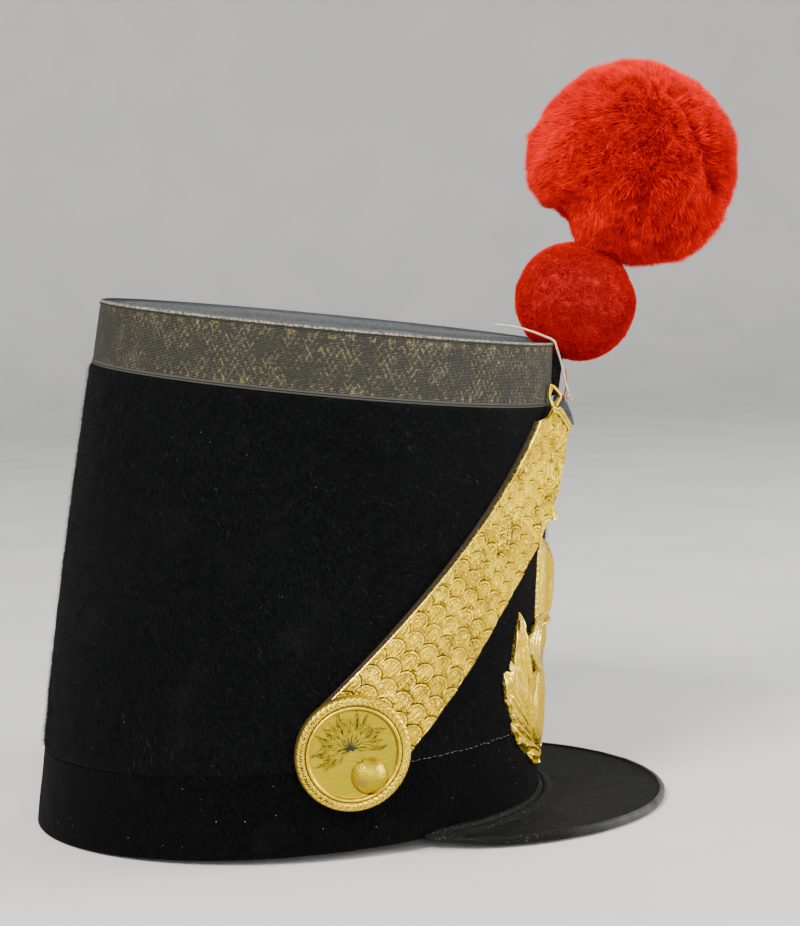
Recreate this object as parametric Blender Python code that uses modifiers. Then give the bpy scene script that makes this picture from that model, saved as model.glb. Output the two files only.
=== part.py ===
"""Shako hat: a tall felt body with lace and velvet bands, a leather peak, a front plate,
chin scales hooked up to the front, and two wool pompoms.

The front faces -Y, the wearer's left is +X, and up is +Z. Sizes are in millimetres, and MM
turns them into metres. The hat is modelled with the edge of its base level, and an empty
then tips it until the peak and the back of the base touch the ground.
"""
import math

import bmesh
import bpy
from mathutils import Matrix, Vector

MM = 0.001
GAP = 0.3                    # between pieces that touch
WELD = 0.000001              # metres, for points that coincide
SEGMENTS = 48                # facets around the body
WALL_ROWS = 3                # and up it, between the bands

# Body: level ovals whose centre moves forward with height, cut off by the sloping crown.
BASE_LENGTH = 210.0          # outer length of the base, front to back
BASE_WIDTH = 181.0
LEAN = 0.1481                # the ovals' centre moves forward by this much a millimetre
BOW = 1.4                    # and the middle of the wall bows backward
BOW_HEIGHT = 190.0
LENGTH_TAPER = 0.0528        # loss of half length a millimetre
WIDTH_FLARE = 0.0176         # gain of half width a millimetre
RIM_FRONT = (122.5, 183.6)   # forward and height of the crown's front edge
RIM_SLOPE = 0.162            # rise of the crown for each millimetre backward
FELT = 3.0
BASE_TRIM = 2.0              # the walls are made this much too long, and cut level
BAND = 1.0                   # thickness of the lace and the velvet
LACE_WIDTH = 24.8
VELVET_WIDTH = 32.0
CROWN_THICKNESS = 2.0
CROWN_RECESS = 0.6           # below the lace's upper edge

# Peak: a flat crescent, whose section is given from the wall to its edge.
PEAK_CENTRE = 74.2
PEAK_HALF_LENGTH = 84.4
PEAK_HALF_WIDTH = 80.4
PEAK_DIP = math.radians(3.0)
PEAK_THICKNESS = 3.7         # at the raised edge
PEAK_WALL_ANGLE = 54.5       # where the crescent ends on the body
PEAK_EDGE_ANGLE = 102.8      # the same ends, on the oval of its edge
PEAK_COLUMNS = 28
PEAK_FULL_WIDTH = 9.0        # narrower than this, the section shrinks
# (distance from the wall, height above the plane of the raised edge)
PEAK_FOOT = [(0.0, 1.9), (1.4, 1.7), (2.2, 0.4), (3.4, 0.9), (4.8, 0.1), (6.0, -0.8)]
# (distance from the outer edge, height)
PEAK_BEAD = [(3.0, -0.8), (2.3, -0.15), (1.2, 0.0), (0.3, -0.5), (0.0, -1.4)]

# Chin scales: a strip that climbs from the rosette to the middle of the front.
ROSETTE_ANGLE = 74.9         # around the body, from the front
ROSETTE_HEIGHT = 39.7
ROSETTE_RADIUS = 22.3
ROSETTE_OUT = 4.45           # its back above the wall
SCALE_FOOT_HEIGHT = 41.0     # of its centre line, at the rosette
SCALE_RISE = 1.64            # climb at the rosette, mm a degree
SCALE_BEND = -0.0054         # loss of climb, mm a degree squared
SCALE_TIP_ANGLE = 20.2
SCALE_ROWS = 24
SCALES_ACROSS = 4
FINE_STEPS = 400             # for measuring along the strip
SCALE_STEP = 0.15            # length of the step down from a row's free edge
SCALE_POINTS = 3             # along each scale's rounded end
SCALE_WIDE = 39.6
SCALE_NARROW = 24.8
SCALE_TAPER = 0.17           # share of the narrowing that is even
LINING_OUT = (0.75, 2.3)     # its two faces, above the wall
SCALE_OUT = 2.6              # the scales' back
SCALE_LOW = 0.7              # thickness where a row comes out from under the last one
SCALE_HIGH = 1.5             # and at its free edge
SCALLOP = 1.9                # depth of a scale's rounded end
TIP_LIFT = 5.3               # the strip is stiff: its lower edge leaves the wall at the front
LIFT_ANGLES = (40.0, 17.2)   # where the lift begins, and where it is whole
LINING_SHOWS = 2.2           # the lining beyond the scales' upper edge
# End cap, as (along, its lower edge, its upper edge, thickness)
TIP_CAP = [(0.3, -12.3, 12.2, 1.3), (5.6, -12.4, 7.2, 1.3), (10.3, -12.6, 5.5, 1.3),
           (10.4, -12.8, 5.4, 2.2), (13.1, -13.5, 4.6, 2.2), (13.2, -13.5, 4.5, 1.0)]

# Rosette, as (radius, height) from the middle of its face to its back, with a grenade.
FIELD_HEIGHT = 2.2
ROSETTE_PROFILE = [(0.0, FIELD_HEIGHT), (17.3, FIELD_HEIGHT), (17.7, 3.3), (18.5, 3.6),
                   (19.2, 3.0), (20.6, 3.5), (21.8, 2.9), (ROSETTE_RADIUS, 1.6),
                   (ROSETTE_RADIUS, 0.0), (0.0, 0.0)]
GRENADE_RADIUS = 6.6
GRENADE_PLACE = (5.3, -8.4)  # toward the front, up
GRENADE_SINK = -1.6          # its centre above the field
FLAME_RELIEF = 1.1
FLAME_OUTLINE = [(2.6, -4.6), (-4.6, -4.2), (-12.6, -7.2), (-8.6, -2.2), (-13.2, 0.6),
                 (-8.2, 3.0), (-10.6, 8.6), (-4.4, 7.0), (-3.4, 14.0), (0.6, 8.6),
                 (3.4, 15.2), (5.0, 8.2), (10.4, 10.6), (8.4, 4.6), (14.0, 5.6),
                 (10.0, 1.0), (12.6, -1.6), (7.4, -2.4)]

# Front plate: a crown over a shield between leaves, cast as one relief. Each boss is
# (across, height, half width, half height, relief, turn in degrees).
PLATE_OUT = 0.4
BOSS_SINK = 0.13             # share of its relief that each boss's middle lies behind the back
PLATE_CUT = 10.0             # the flat relief is divided this finely before it is wrapped
SHIELD = (0.0, 35.0, 18.0, 24.0, 3.0, 0.0)
CROWN = (0.0, 82.0, 24.0, 17.0, 5.6, 0.0)
NECK = (0.0, 62.0, 11.0, 9.0, 2.6, 0.0)
FINIAL = (0.0, 100.0, 2.6, 3.4, 2.4, 0.0)
STEM = (0.0, 10.6, 3.2, 5.0, 2.2, 0.0)
LEAVES = [
    (20.5, 39.0, 7.0, 19.0, 2.9, -38.0),
    (41.0, 53.0, 5.4, 21.0, 2.9, -20.0),
    (50.0, 60.0, 5.2, 19.5, 3.0, -11.0),
    (50.0, 47.0, 5.6, 18.5, 2.8, -54.0),
    (48.0, 38.5, 5.6, 17.5, 2.6, -66.0),
    (42.0, 31.0, 5.0, 16.5, 2.4, -83.0),
    (31.0, 22.5, 5.2, 19.0, 2.4, -91.0),
    (18.0, 15.5, 4.6, 13.0, 2.1, -100.0),
]

# Cockade loop and button on the front, under the tips of the chin scales.
BUTTON_HEIGHT = 118.4
BUTTON_PROFILE = [(0.0, 4.0), (3.2, 3.5), (5.2, 2.3), (6.4, 0.8), (6.4, 0.0), (0.0, 0.0)]
LOOP_HALF_WIDTH = 2.4
LOOP_THICKNESS = 1.3
LOOP_ENDS = (112.5, 153.0)

# Hook tab between the tips, as (forward, height) round its outline, and its wire rings.
TAB_OUTLINE = [(121.4, 159.2), (122.0, 161.2), (125.7, 161.0),
               (128.9, 152.4), (128.7, 149.0), (122.9, 157.6)]
TAB_HALF_WIDTH = 2.4
RING_CENTRE = (26.6, 120.3, 162.9)    # left, forward, height
RING_HALF_SIZE = (1.9, 4.9)
RING_WIRE = 1.0
RING_POINTS = 14

# Pompoms and their holder.
SMALL_POMPOM = (133.2, 199.9, 24.6)   # forward, height, radius
LARGE_POMPOM = (159.4, 254.9, 42.6)
SMALL_FACETS = (18, 11)
LARGE_FACETS = (24, 15)
SMALL_LOCKS = 50
LARGE_LOCKS = 90
LOCK_DEPTH = 0.05                     # share of the radius
HOLDER_LEVELS = (161.8, 171.0, 181.5)
HOLDER_HALF_WIDTH = (5.5, 7.5, 9.0)
HOLDER_THICKNESS = (3.0, 3.6, 4.2)
WIRE_DIAMETER = 2.2

# Tie string, as (left, forward, height) along its route from the knot to the free end.
STRING_DIAMETER = 0.9
STRING_ROUTE = [
    (-3.9, 127.3, 162.9),
    (-6.6, 126.0, 168.0),
    (-11.5, 124.5, 175.0),
    (-16.0, 122.6, 181.5),
    (-18.0, 121.3, 185.0),
    (-17.6, 117.4, 187.2),
    (-15.0, 112.0, 189.6),
    (-12.0, 106.0, 191.6),
    (-10.0, 98.9, 192.8),
]
STRING_POINTS = 20
KNOT_CENTRE = (-3.7, 127.5, 161.3)
KNOT_RADIUS = 1.3

LEFT, RIGHT = 1, -1
SIDE_NAMES = {LEFT: "left", RIGHT: "right"}


# ---- the hat's own coordinates -------------------------------------------------------

def at(left, forward, height):
    """A point of the hat, in millimetres."""
    return Vector((left, -forward, height))


def wall_centre(height):
    """How far forward the centre of the oval at a height lies."""
    return LEAN * height - BOW * math.sin(math.pi * height / BOW_HEIGHT)


def wall_point(angle, height, out=0.0):
    """A point on the body's outer wall. The angle is in degrees from the front, left is +."""
    half_length = BASE_LENGTH / 2 - LENGTH_TAPER * height + out
    half_width = BASE_WIDTH / 2 + WIDTH_FLARE * height + out
    turn = math.radians(angle)
    reach = half_length * half_width / math.hypot(half_width * math.cos(turn),
                                                  half_length * math.sin(turn))
    return at(reach * math.sin(turn), wall_centre(height) + reach * math.cos(turn), height)


def rim_height(angle, out=0.0):
    """Height of the crown's edge at an angle."""
    height = RIM_FRONT[1]
    for _ in range(8):
        forward = -wall_point(angle, height, out).y
        height = RIM_FRONT[1] + RIM_SLOPE * (RIM_FRONT[0] - forward)
    return height


def wall_frame(angle, height):
    """Unit vectors on the wall: around it, up it, and out of it."""
    around = (wall_point(angle + 1, height) - wall_point(angle - 1, height)).normalized()
    up = (wall_point(angle, height + 1) - wall_point(angle, height - 1)).normalized()
    out = around.cross(up).normalized()
    return around, out.cross(around), out


def ring(height_of, out, count=SEGMENTS):
    """One level of the wall, as a closed ring of points."""
    angles = [360 * i / count for i in range(count)]
    return [wall_point(a, height_of(a), out) for a in angles]


# ---- meshes, objects and materials ---------------------------------------------------

def empty_scene():
    for item in list(bpy.data.objects):
        bpy.data.objects.remove(item)


def collection(name):
    group = bpy.data.collections.new(name)
    bpy.context.scene.collection.children.link(group)
    return group


def material(name, colour, roughness, metallic=0.0):
    finish = bpy.data.materials.new(name)
    finish.use_nodes = True
    shader = finish.node_tree.nodes["Principled BSDF"]
    shader.inputs["Base Color"].default_value = (*colour, 1.0)
    shader.inputs["Roughness"].default_value = roughness
    shader.inputs["Metallic"].default_value = metallic
    return finish


def add_object(name, mesh, finish, group):
    item = bpy.data.objects.new(name, mesh)
    group.objects.link(item)
    if finish is not None:
        mesh.materials.clear()
        mesh.materials.append(finish)
    return item


def mesh_from(bm, name):
    """Turns a bmesh in millimetres into a mesh in metres."""
    bmesh.ops.scale(bm, vec=(MM, MM, MM), verts=bm.verts)
    mesh = bpy.data.meshes.new(name)
    bm.to_mesh(mesh)
    bm.free()
    return mesh


def loft(name, rings, closed=True, caps=False):
    """A surface through rows of points. Closed rows join their ends, and caps fill the last ones."""
    bm = bmesh.new()
    rows = [[bm.verts.new(p) for p in row] for row in rings]
    span = len(rings[0])
    for low, high in zip(rows, rows[1:]):
        for i in range(span if closed else span - 1):
            j = (i + 1) % span
            bm.faces.new((low[i], low[j], high[j], high[i]))
    if caps:
        bm.faces.new(list(reversed(rows[0])))
        bm.faces.new(rows[-1])
        bmesh.ops.recalc_face_normals(bm, faces=bm.faces)
    return mesh_from(bm, name)


def thicken(item, thickness):
    """Gives an open surface a thickness on its inner side."""
    shell = item.modifiers.new("thickness", "SOLIDIFY")
    shell.thickness = thickness * MM
    shell.offset = -1.0
    shell.use_even_offset = True
    return item


def combine(item, other, operation):
    """Adds a Boolean with another object."""
    step = item.modifiers.new(other.name, "BOOLEAN")
    step.operation = operation
    step.solver = "EXACT"
    step.object = other


def as_cutter(item):
    item.hide_render = True
    item.display_type = "WIRE"
    return item


def smooth(item, angle=40.0):
    item.data.shade_smooth()
    item.data.set_sharp_from_angle(angle=math.radians(angle))
    return item


def turned(name, profile, group, finish, steps=24):
    """A solid turned about Z, from (radius, height) points that run down its outer side."""
    bm = bmesh.new()
    points = [bm.verts.new((radius, 0.0, height)) for radius, height in profile]
    for first, second in zip(points, points[1:]):
        bm.edges.new((first, second))
    item = add_object(name, mesh_from(bm, name), finish, group)
    screw = item.modifiers.new("turn", "SCREW")
    screw.steps = steps
    screw.render_steps = steps
    screw.use_merge_vertices = True
    screw.merge_threshold = 0.0001
    return item


def wire(name, points, diameter, group, finish, cyclic=False):
    """A round wire along points, as a curve with filled caps."""
    curve = bpy.data.curves.new(name, "CURVE")
    curve.dimensions = "3D"
    curve.bevel_depth = diameter / 2 * MM
    curve.bevel_resolution = 2
    curve.use_fill_caps = not cyclic
    spline = curve.splines.new("POLY")
    spline.points.add(len(points) - 1)
    for place, point in zip(spline.points, points):
        place.co = (*(point * MM), 1.0)
    spline.use_cyclic_u = cyclic
    curve.materials.append(finish)
    item = bpy.data.objects.new(name, curve)
    group.objects.link(item)
    return item


def outline(name, points, half_thickness, group, finish):
    """A flat plate, from a closed outline in its own XY plane."""
    curve = bpy.data.curves.new(name, "CURVE")
    curve.dimensions = "2D"
    curve.fill_mode = "BOTH"
    curve.extrude = half_thickness * MM
    spline = curve.splines.new("POLY")
    spline.points.add(len(points) - 1)
    for place, point in zip(spline.points, points):
        place.co = (point[0] * MM, point[1] * MM, 0.0, 1.0)
    spline.use_cyclic_u = True
    item = bpy.data.objects.new(name, curve)
    group.objects.link(item)
    return baked(item, finish)


def baked(item, finish):
    """Replaces an object by the closed mesh that it evaluates to."""
    bpy.context.view_layer.update()
    evaluated = item.evaluated_get(bpy.context.evaluated_depsgraph_get())
    mesh = bpy.data.meshes.new_from_object(evaluated)
    bm = bmesh.new()
    bm.from_mesh(mesh)
    bmesh.ops.remove_doubles(bm, verts=bm.verts, dist=WELD)
    bmesh.ops.recalc_face_normals(bm, faces=bm.faces)
    bm.to_mesh(mesh)
    bm.free()
    name = item.name
    place = item.matrix_world.copy()
    group = item.users_collection[0]
    bpy.data.objects.remove(item)
    solid = add_object(name, mesh, finish, group)
    solid.name = name
    solid.matrix_world = place
    return solid


def smoothstep(value):
    value = min(max(value, 0.0), 1.0)
    return value * value * (3 - 2 * value)


# ---- felt body, crown and bands ------------------------------------------------------

def drop(amount):
    """A level that lies below the crown's edge."""
    return lambda angle: rim_height(angle) - amount


def level(height):
    return lambda angle: height


def between(low, high, share):
    """A level that lies a share of the way from one level to another."""
    return lambda angle: low(angle) + (high(angle) - low(angle)) * share


def base_cutter(group):
    """Everything under the base, which cuts the lower edges level."""
    bm = bmesh.new()
    bmesh.ops.create_cube(bm, size=1.0)
    bmesh.ops.scale(bm, vec=(2 * BASE_LENGTH, 2 * BASE_LENGTH, BASE_TRIM * 10), verts=bm.verts)
    bmesh.ops.translate(bm, vec=(0, 0, -BASE_TRIM * 5), verts=bm.verts)
    return as_cutter(add_object("under_base", mesh_from(bm, "under_base"), None, group))


def felt_body(group, cutter, finish):
    """One hollow felt cup. Its wall steps in behind each band."""
    under = -BAND - GAP
    top = CROWN_RECESS + CROWN_THICKNESS + GAP
    rows = [
        ring(level(-BASE_TRIM), under),
        ring(level(VELVET_WIDTH + GAP), under),
        *[ring(between(level(VELVET_WIDTH + GAP), drop(LACE_WIDTH + GAP), i / WALL_ROWS), 0)
          for i in range(WALL_ROWS + 1)],
        ring(drop(LACE_WIDTH + GAP), under),
        ring(drop(top), under),
    ]
    mesh = loft("felt_body", rows)
    bm = bmesh.new()
    bm.from_mesh(mesh)
    bm.verts.ensure_lookup_table()
    bm.faces.new(bm.verts[-SEGMENTS:])
    bm.to_mesh(mesh)
    bm.free()
    body = smooth(thicken(add_object("felt_body", mesh, finish, group), FELT))
    combine(body, cutter, "DIFFERENCE")
    return body


def crown_top(group, finish):
    """The disc that closes the hat, a little below the lace's edge."""
    bm = bmesh.new()
    bm.faces.new([bm.verts.new(p) for p in ring(drop(CROWN_RECESS), -BAND - GAP)])
    disc = add_object("crown_top", mesh_from(bm, "crown_top"), finish, group)
    return thicken(disc, CROWN_THICKNESS)


def band(name, low, high, group, finish):
    rows = [ring(low, 0), ring(high, 0)]
    return smooth(thicken(add_object(name, loft(name, rows), finish, group), BAND))


# ---- peak ----------------------------------------------------------------------------

def peak_plane(forward):
    """Height of the raised edge's plane."""
    return -(forward - PEAK_CENTRE) * math.tan(PEAK_DIP)


def peak_section(share):
    """The peak's closed section at one column, from -1 on the right to 1 on the left."""
    inner = wall_point(share * PEAK_WALL_ANGLE, 0, GAP)
    turn = math.radians(share * PEAK_EDGE_ANGLE)
    outer = at(PEAK_HALF_WIDTH * math.sin(turn),
               PEAK_CENTRE + PEAK_HALF_LENGTH * math.cos(turn), 0)
    width = (outer - inner).length
    shrink = min(1.0, width / PEAK_FULL_WIDTH)
    upper = [(d * shrink, h * shrink) for d, h in PEAK_FOOT]
    upper += [(width - d * shrink, h) for d, h in PEAK_BEAD]
    edge_in = PEAK_BEAD[-2][0] * shrink
    section = upper + [(width - edge_in, -PEAK_THICKNESS), (0.0, -PEAK_THICKNESS)]
    points = []
    for distance, height in section:
        place = inner.lerp(outer, distance / width)
        points.append(Vector((place.x, place.y, peak_plane(-place.y) + height)))
    return points


def peak(group, finish):
    sections = [peak_section(2 * i / PEAK_COLUMNS - 1) for i in range(PEAK_COLUMNS + 1)]
    mesh = loft("peak", sections, caps=True)
    return smooth(add_object("peak", mesh, finish, group), 30)


# ---- chin scales and rosettes --------------------------------------------------------

def strip_place(angle):
    """Centre of the chin strip at an angle from the front."""
    turn = ROSETTE_ANGLE - angle
    return SCALE_FOOT_HEIGHT + SCALE_RISE * turn - SCALE_BEND * turn * turn


def strip_lift(angle, across):
    """The strip's lower edge stands off the wall near its tip, and its upper edge hardly."""
    tilt = min(max(0.5 - across / SCALE_NARROW, 0.0), 1.2)
    begin, whole = LIFT_ANGLES
    return TIP_LIFT * tilt * smoothstep((begin - angle) / (begin - whole))


def strip_stations(count):
    """Angles that divide the strip's centre line into equal lengths."""
    span = ROSETTE_ANGLE - SCALE_TIP_ANGLE
    angles = [ROSETTE_ANGLE - span * i / FINE_STEPS for i in range(FINE_STEPS + 1)]
    places = [wall_point(a, strip_place(a)) for a in angles]
    lengths = [0.0]
    for first, second in zip(places, places[1:]):
        lengths.append(lengths[-1] + (second - first).length)
    stations = []
    for i in range(count + 1):
        target = lengths[-1] * i / count
        k = next(n for n, value in enumerate(lengths) if value >= target - 1e-6)
        stations.append(angles[k])
    return stations


def strip_point(angle, along, across, out, side):
    """A point of the strip near the station at an angle: along it, across it and out of the wall."""
    height = strip_place(angle)
    reach = (wall_point(angle, height) - at(0, wall_centre(height), height)).length
    climb = SCALE_RISE - 2 * SCALE_BEND * (ROSETTE_ANGLE - angle)
    run = math.radians(1) * reach
    step = math.hypot(run, climb)
    ahead = (-run / step, climb / step)
    aside = (climb / step, run / step)
    around = along * ahead[0] + across * aside[0]
    height += along * ahead[1] + across * aside[1]
    angle += math.degrees(around / reach)
    return wall_point(side * angle, height, out + strip_lift(angle, across))


def strip_half_width(share):
    """Half the strip's width, at a share of its length from the rosette."""
    taper = SCALE_TAPER * share + (1 - SCALE_TAPER) * share ** 2
    return (SCALE_WIDE + (SCALE_NARROW - SCALE_WIDE) * taper) / 2


def scale_row(angle, share, row, raised, side):
    """The section of the scales at one row's free edge, above or below its step."""
    columns = SCALE_POINTS * SCALES_ACROSS
    half = strip_half_width(share)
    scallop = SCALLOP if row < SCALE_ROWS else 0.0
    thickness = SCALE_HIGH if raised else SCALE_LOW
    step = 0.0 if raised else SCALE_STEP
    points = []
    for i in range(columns + 1):
        phase = (i / SCALE_POINTS + 0.5 * (row % 2)) % 1.0
        round_end = scallop * (1 - (2 * phase - 1) ** 2)
        across = half * (2 * i / columns - 1)
        points.append(strip_point(angle, round_end + step, across, SCALE_OUT + thickness, side))
    for across in (half, 0.0, -half):
        points.append(strip_point(angle, step, across, SCALE_OUT, side))
    return points


def chin_scales(side, group, finish):
    """Overlapping rows of scales, fused into one strip."""
    name = "chin_scales_" + SIDE_NAMES[side]
    stations = strip_stations(SCALE_ROWS)
    sections = []
    for row, angle in enumerate(stations):
        share = row / SCALE_ROWS
        if row > 0:
            sections.append(scale_row(angle, share, row, True, side))
        if row < SCALE_ROWS:
            sections.append(scale_row(angle, share, row, False, side))
    mesh = loft(name, sections, caps=True)
    return add_object(name, mesh, finish, group)


def strap_lining(side, group, finish):
    """The leather behind the scales, which shows along their upper edge."""
    name = "strap_lining_" + SIDE_NAMES[side]
    stations = strip_stations(SCALE_ROWS)
    sections = []
    for row, angle in enumerate(stations):
        half = strip_half_width(row / SCALE_ROWS)
        edges = (-half, 0, half, half + LINING_SHOWS)
        low, high = LINING_OUT
        sections.append([strip_point(angle, 0, a, low, side) for a in edges]
                        + [strip_point(angle, 0, a, high, side) for a in reversed(edges)])
    mesh = loft(name, sections, caps=True)
    return add_object(name, mesh, finish, group)


def strap_tip(side, group, finish):
    """The cap on the strip's end, with a raised edge."""
    name = "strap_tip_" + SIDE_NAMES[side]
    sections = []
    for along, lower, upper, thickness in TIP_CAP:
        spread = [lower, (lower + upper) / 2, upper]
        high = SCALE_OUT + thickness
        sections.append(
            [strip_point(SCALE_TIP_ANGLE, along, a, SCALE_OUT, side) for a in spread]
            + [strip_point(SCALE_TIP_ANGLE, along, a, high, side) for a in reversed(spread)])
    return add_object(name, loft(name, sections, caps=True), finish, group)


def rosette(side, group, cutters, finish):
    """A round boss with a raised border, and a flaming grenade on its field."""
    name = "rosette_" + SIDE_NAMES[side]
    disc = baked(turned(name, ROSETTE_PROFILE, cutters, None), finish)
    group.objects.link(disc)
    cutters.objects.unlink(disc)
    toward_front = -side
    bm = bmesh.new()
    bmesh.ops.create_uvsphere(bm, u_segments=14, v_segments=9, radius=GRENADE_RADIUS)
    bmesh.ops.translate(bm, vec=(toward_front * GRENADE_PLACE[0], GRENADE_PLACE[1],
                                 FIELD_HEIGHT + GRENADE_SINK), verts=bm.verts)
    geometry = bm.verts[:] + bm.edges[:] + bm.faces[:]
    bmesh.ops.bisect_plane(bm, geom=geometry, plane_co=(0, 0, FIELD_HEIGHT / 2),
                           plane_no=(0, 0, 1), clear_inner=True)
    bmesh.ops.holes_fill(bm, edges=[e for e in bm.edges if e.is_boundary])
    ball = as_cutter(add_object(name + "_ball", mesh_from(bm, name + "_ball"), None, cutters))
    flame_points = [(toward_front * x, y) for x, y in FLAME_OUTLINE]
    flames = outline(name + "_flames", flame_points, FLAME_RELIEF, cutters, None)
    flames.location.z = FIELD_HEIGHT * MM
    as_cutter(flames)
    combine(disc, ball, "UNION")
    combine(disc, flames, "UNION")
    boss = baked(disc, finish)
    around, up, out = wall_frame(side * ROSETTE_ANGLE, ROSETTE_HEIGHT)
    place = wall_point(side * ROSETTE_ANGLE, ROSETTE_HEIGHT) + out * ROSETTE_OUT
    boss.matrix_world = Matrix.Translation(place * MM) @ axes_matrix(around, up, out)
    bpy.data.objects.remove(ball)
    bpy.data.objects.remove(flames)
    return smooth(boss, 30)


def axes_matrix(first, second, third):
    """A turn whose columns are three axes."""
    return Matrix((first, second, third)).transposed().to_4x4()


# ---- front plate, loop and button ----------------------------------------------------

def boss(name, shape, group):
    """One rounded swelling of the plate's relief, in its flat plane."""
    across, height, half_width, half_height, relief, turn = shape
    bm = bmesh.new()
    bmesh.ops.create_uvsphere(bm, u_segments=10, v_segments=6, radius=1.0)
    lengthwise = Matrix.Rotation(math.pi / 2, 3, "X")
    bmesh.ops.rotate(bm, cent=(0, 0, 0), verts=bm.verts, matrix=lengthwise)
    bmesh.ops.scale(bm, vec=(half_width, half_height, relief), verts=bm.verts)
    spin = Matrix.Rotation(math.radians(turn), 3, "Z")
    bmesh.ops.rotate(bm, cent=(0, 0, 0), verts=bm.verts, matrix=spin)
    bmesh.ops.translate(bm, vec=(across, height, -BOSS_SINK * relief), verts=bm.verts)
    return as_cutter(add_object(name, mesh_from(bm, name), None, group))


def wrapped(item, out):
    """Bends a flat solid onto the front of the wall. Its Y is the height on the hat."""
    bm = bmesh.new()
    bm.from_mesh(item.data)
    for axis, step in ((0, PLATE_CUT), (1, 2 * PLATE_CUT)):
        low = min(v.co[axis] for v in bm.verts) / MM
        high = max(v.co[axis] for v in bm.verts) / MM
        for i in range(1, math.ceil((high - low) / step)):
            place = [0, 0, 0]
            place[axis] = (low + i * step) * MM
            normal = [int(k == axis) for k in range(3)]
            geometry = bm.verts[:] + bm.edges[:] + bm.faces[:]
            bmesh.ops.bisect_plane(bm, geom=geometry, plane_co=place, plane_no=normal, dist=WELD)
    for v in bm.verts:
        across, height, relief = (value / MM for value in v.co)
        turn = math.degrees(across / (BASE_LENGTH / 2))
        v.co = wall_point(turn, height, out + relief) * MM
    bm.to_mesh(item.data)
    bm.free()
    return item


def front_plate(group, cutters, finish):
    """The cast relief. Its swellings are joined while flat, cut at the back and wrapped."""
    plate = boss("front_plate", SHIELD, group)
    plate.hide_render = False
    plate.display_type = "TEXTURED"
    shapes = [CROWN, NECK, FINIAL, STEM]
    for side in (LEFT, RIGHT):
        shapes += [(side * x, y, w, h, r, side * t) for x, y, w, h, r, t in LEAVES]
    tools = [boss("plate_boss_%02d" % i, shape, cutters) for i, shape in enumerate(shapes)]
    for tool in tools:
        combine(plate, tool, "UNION")
    bm = bmesh.new()
    bmesh.ops.create_cube(bm, size=1.0)
    bmesh.ops.scale(bm, vec=(200, 200, 20), verts=bm.verts)
    bmesh.ops.translate(bm, vec=(0, 60, -10), verts=bm.verts)
    back = as_cutter(add_object("plate_back", mesh_from(bm, "plate_back"), None, cutters))
    combine(plate, back, "DIFFERENCE")
    plate = baked(plate, finish)
    for tool in tools + [back]:
        bpy.data.objects.remove(tool)
    return smooth(wrapped(plate, PLATE_OUT))


def cockade_loop(group, finish):
    """A flat band down the front, from the tips to the button."""
    low, high = LOOP_ENDS
    width = LOOP_HALF_WIDTH
    points = [(-width, low), (width, low), (width, high), (-width, high)]
    strip = outline("cockade_loop", points, LOOP_THICKNESS / 2, group, finish)
    for vertex in strip.data.vertices:
        vertex.co.z += LOOP_THICKNESS / 2 * MM
    return wrapped(strip, GAP)


def loop_button(group, finish):
    button = baked(turned("loop_button", BUTTON_PROFILE, group, finish, 16), finish)
    around, up, out = wall_frame(0, BUTTON_HEIGHT)
    place = wall_point(0, BUTTON_HEIGHT, 2 * GAP + LOOP_THICKNESS)
    button.matrix_world = Matrix.Translation(place * MM) @ axes_matrix(around, up, out)
    return smooth(button)


# ---- hook tab, rings and string ------------------------------------------------------

def hook_tab(group, finish):
    tab = outline("hook_tab", TAB_OUTLINE, TAB_HALF_WIDTH, group, finish)
    forward, up, left = at(0, 1, 0), at(0, 0, 1), at(1, 0, 0)
    tab.matrix_world = axes_matrix(forward, up, left)
    return tab


def hook_ring(side, group, finish):
    left, forward, height = RING_CENTRE
    wide, tall = RING_HALF_SIZE
    turns = [2 * math.pi * i / RING_POINTS for i in range(RING_POINTS)]
    points = [at(side * left, forward + wide * math.cos(t), height + tall * math.sin(t))
              for t in turns]
    name = "hook_ring_" + SIDE_NAMES[side]
    return baked(wire(name, points, RING_WIRE, group, finish, cyclic=True), finish)


def smooth_route(route, count):
    """Points along a Catmull-Rom curve through a route."""
    knots = [at(*point) for point in route]
    knots = [2 * knots[0] - knots[1]] + knots + [2 * knots[-1] - knots[-2]]
    points = []
    for i in range(count):
        place = i / (count - 1) * (len(route) - 1)
        k = min(int(place), len(route) - 2)
        t = place - k
        a, b, c, d = knots[k:k + 4]
        points.append(0.5 * (2 * b + (c - a) * t + (2 * a - 5 * b + 4 * c - d) * t ** 2
                             + (3 * b - a - 3 * c + d) * t ** 3))
    return points


def tie_string(group, finish):
    points = smooth_route(STRING_ROUTE, STRING_POINTS)
    return baked(wire("tie_string", points, STRING_DIAMETER, group, finish), finish)


def string_knot(group, finish):
    bm = bmesh.new()
    bmesh.ops.create_icosphere(bm, subdivisions=1, radius=KNOT_RADIUS)
    bmesh.ops.translate(bm, vec=at(*KNOT_CENTRE), verts=bm.verts)
    return add_object("string_knot", mesh_from(bm, "string_knot"), finish, group)


# ---- pompoms -------------------------------------------------------------------------

def lock_directions(count):
    """Directions spread evenly over a ball, one for each lock of wool."""
    golden = math.pi * (3 - math.sqrt(5))
    places = []
    for i in range(count):
        z = 1 - 2 * (i + 0.5) / count
        reach = math.sqrt(1 - z * z)
        places.append(Vector((reach * math.cos(golden * i), reach * math.sin(golden * i), z)))
    return places


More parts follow.
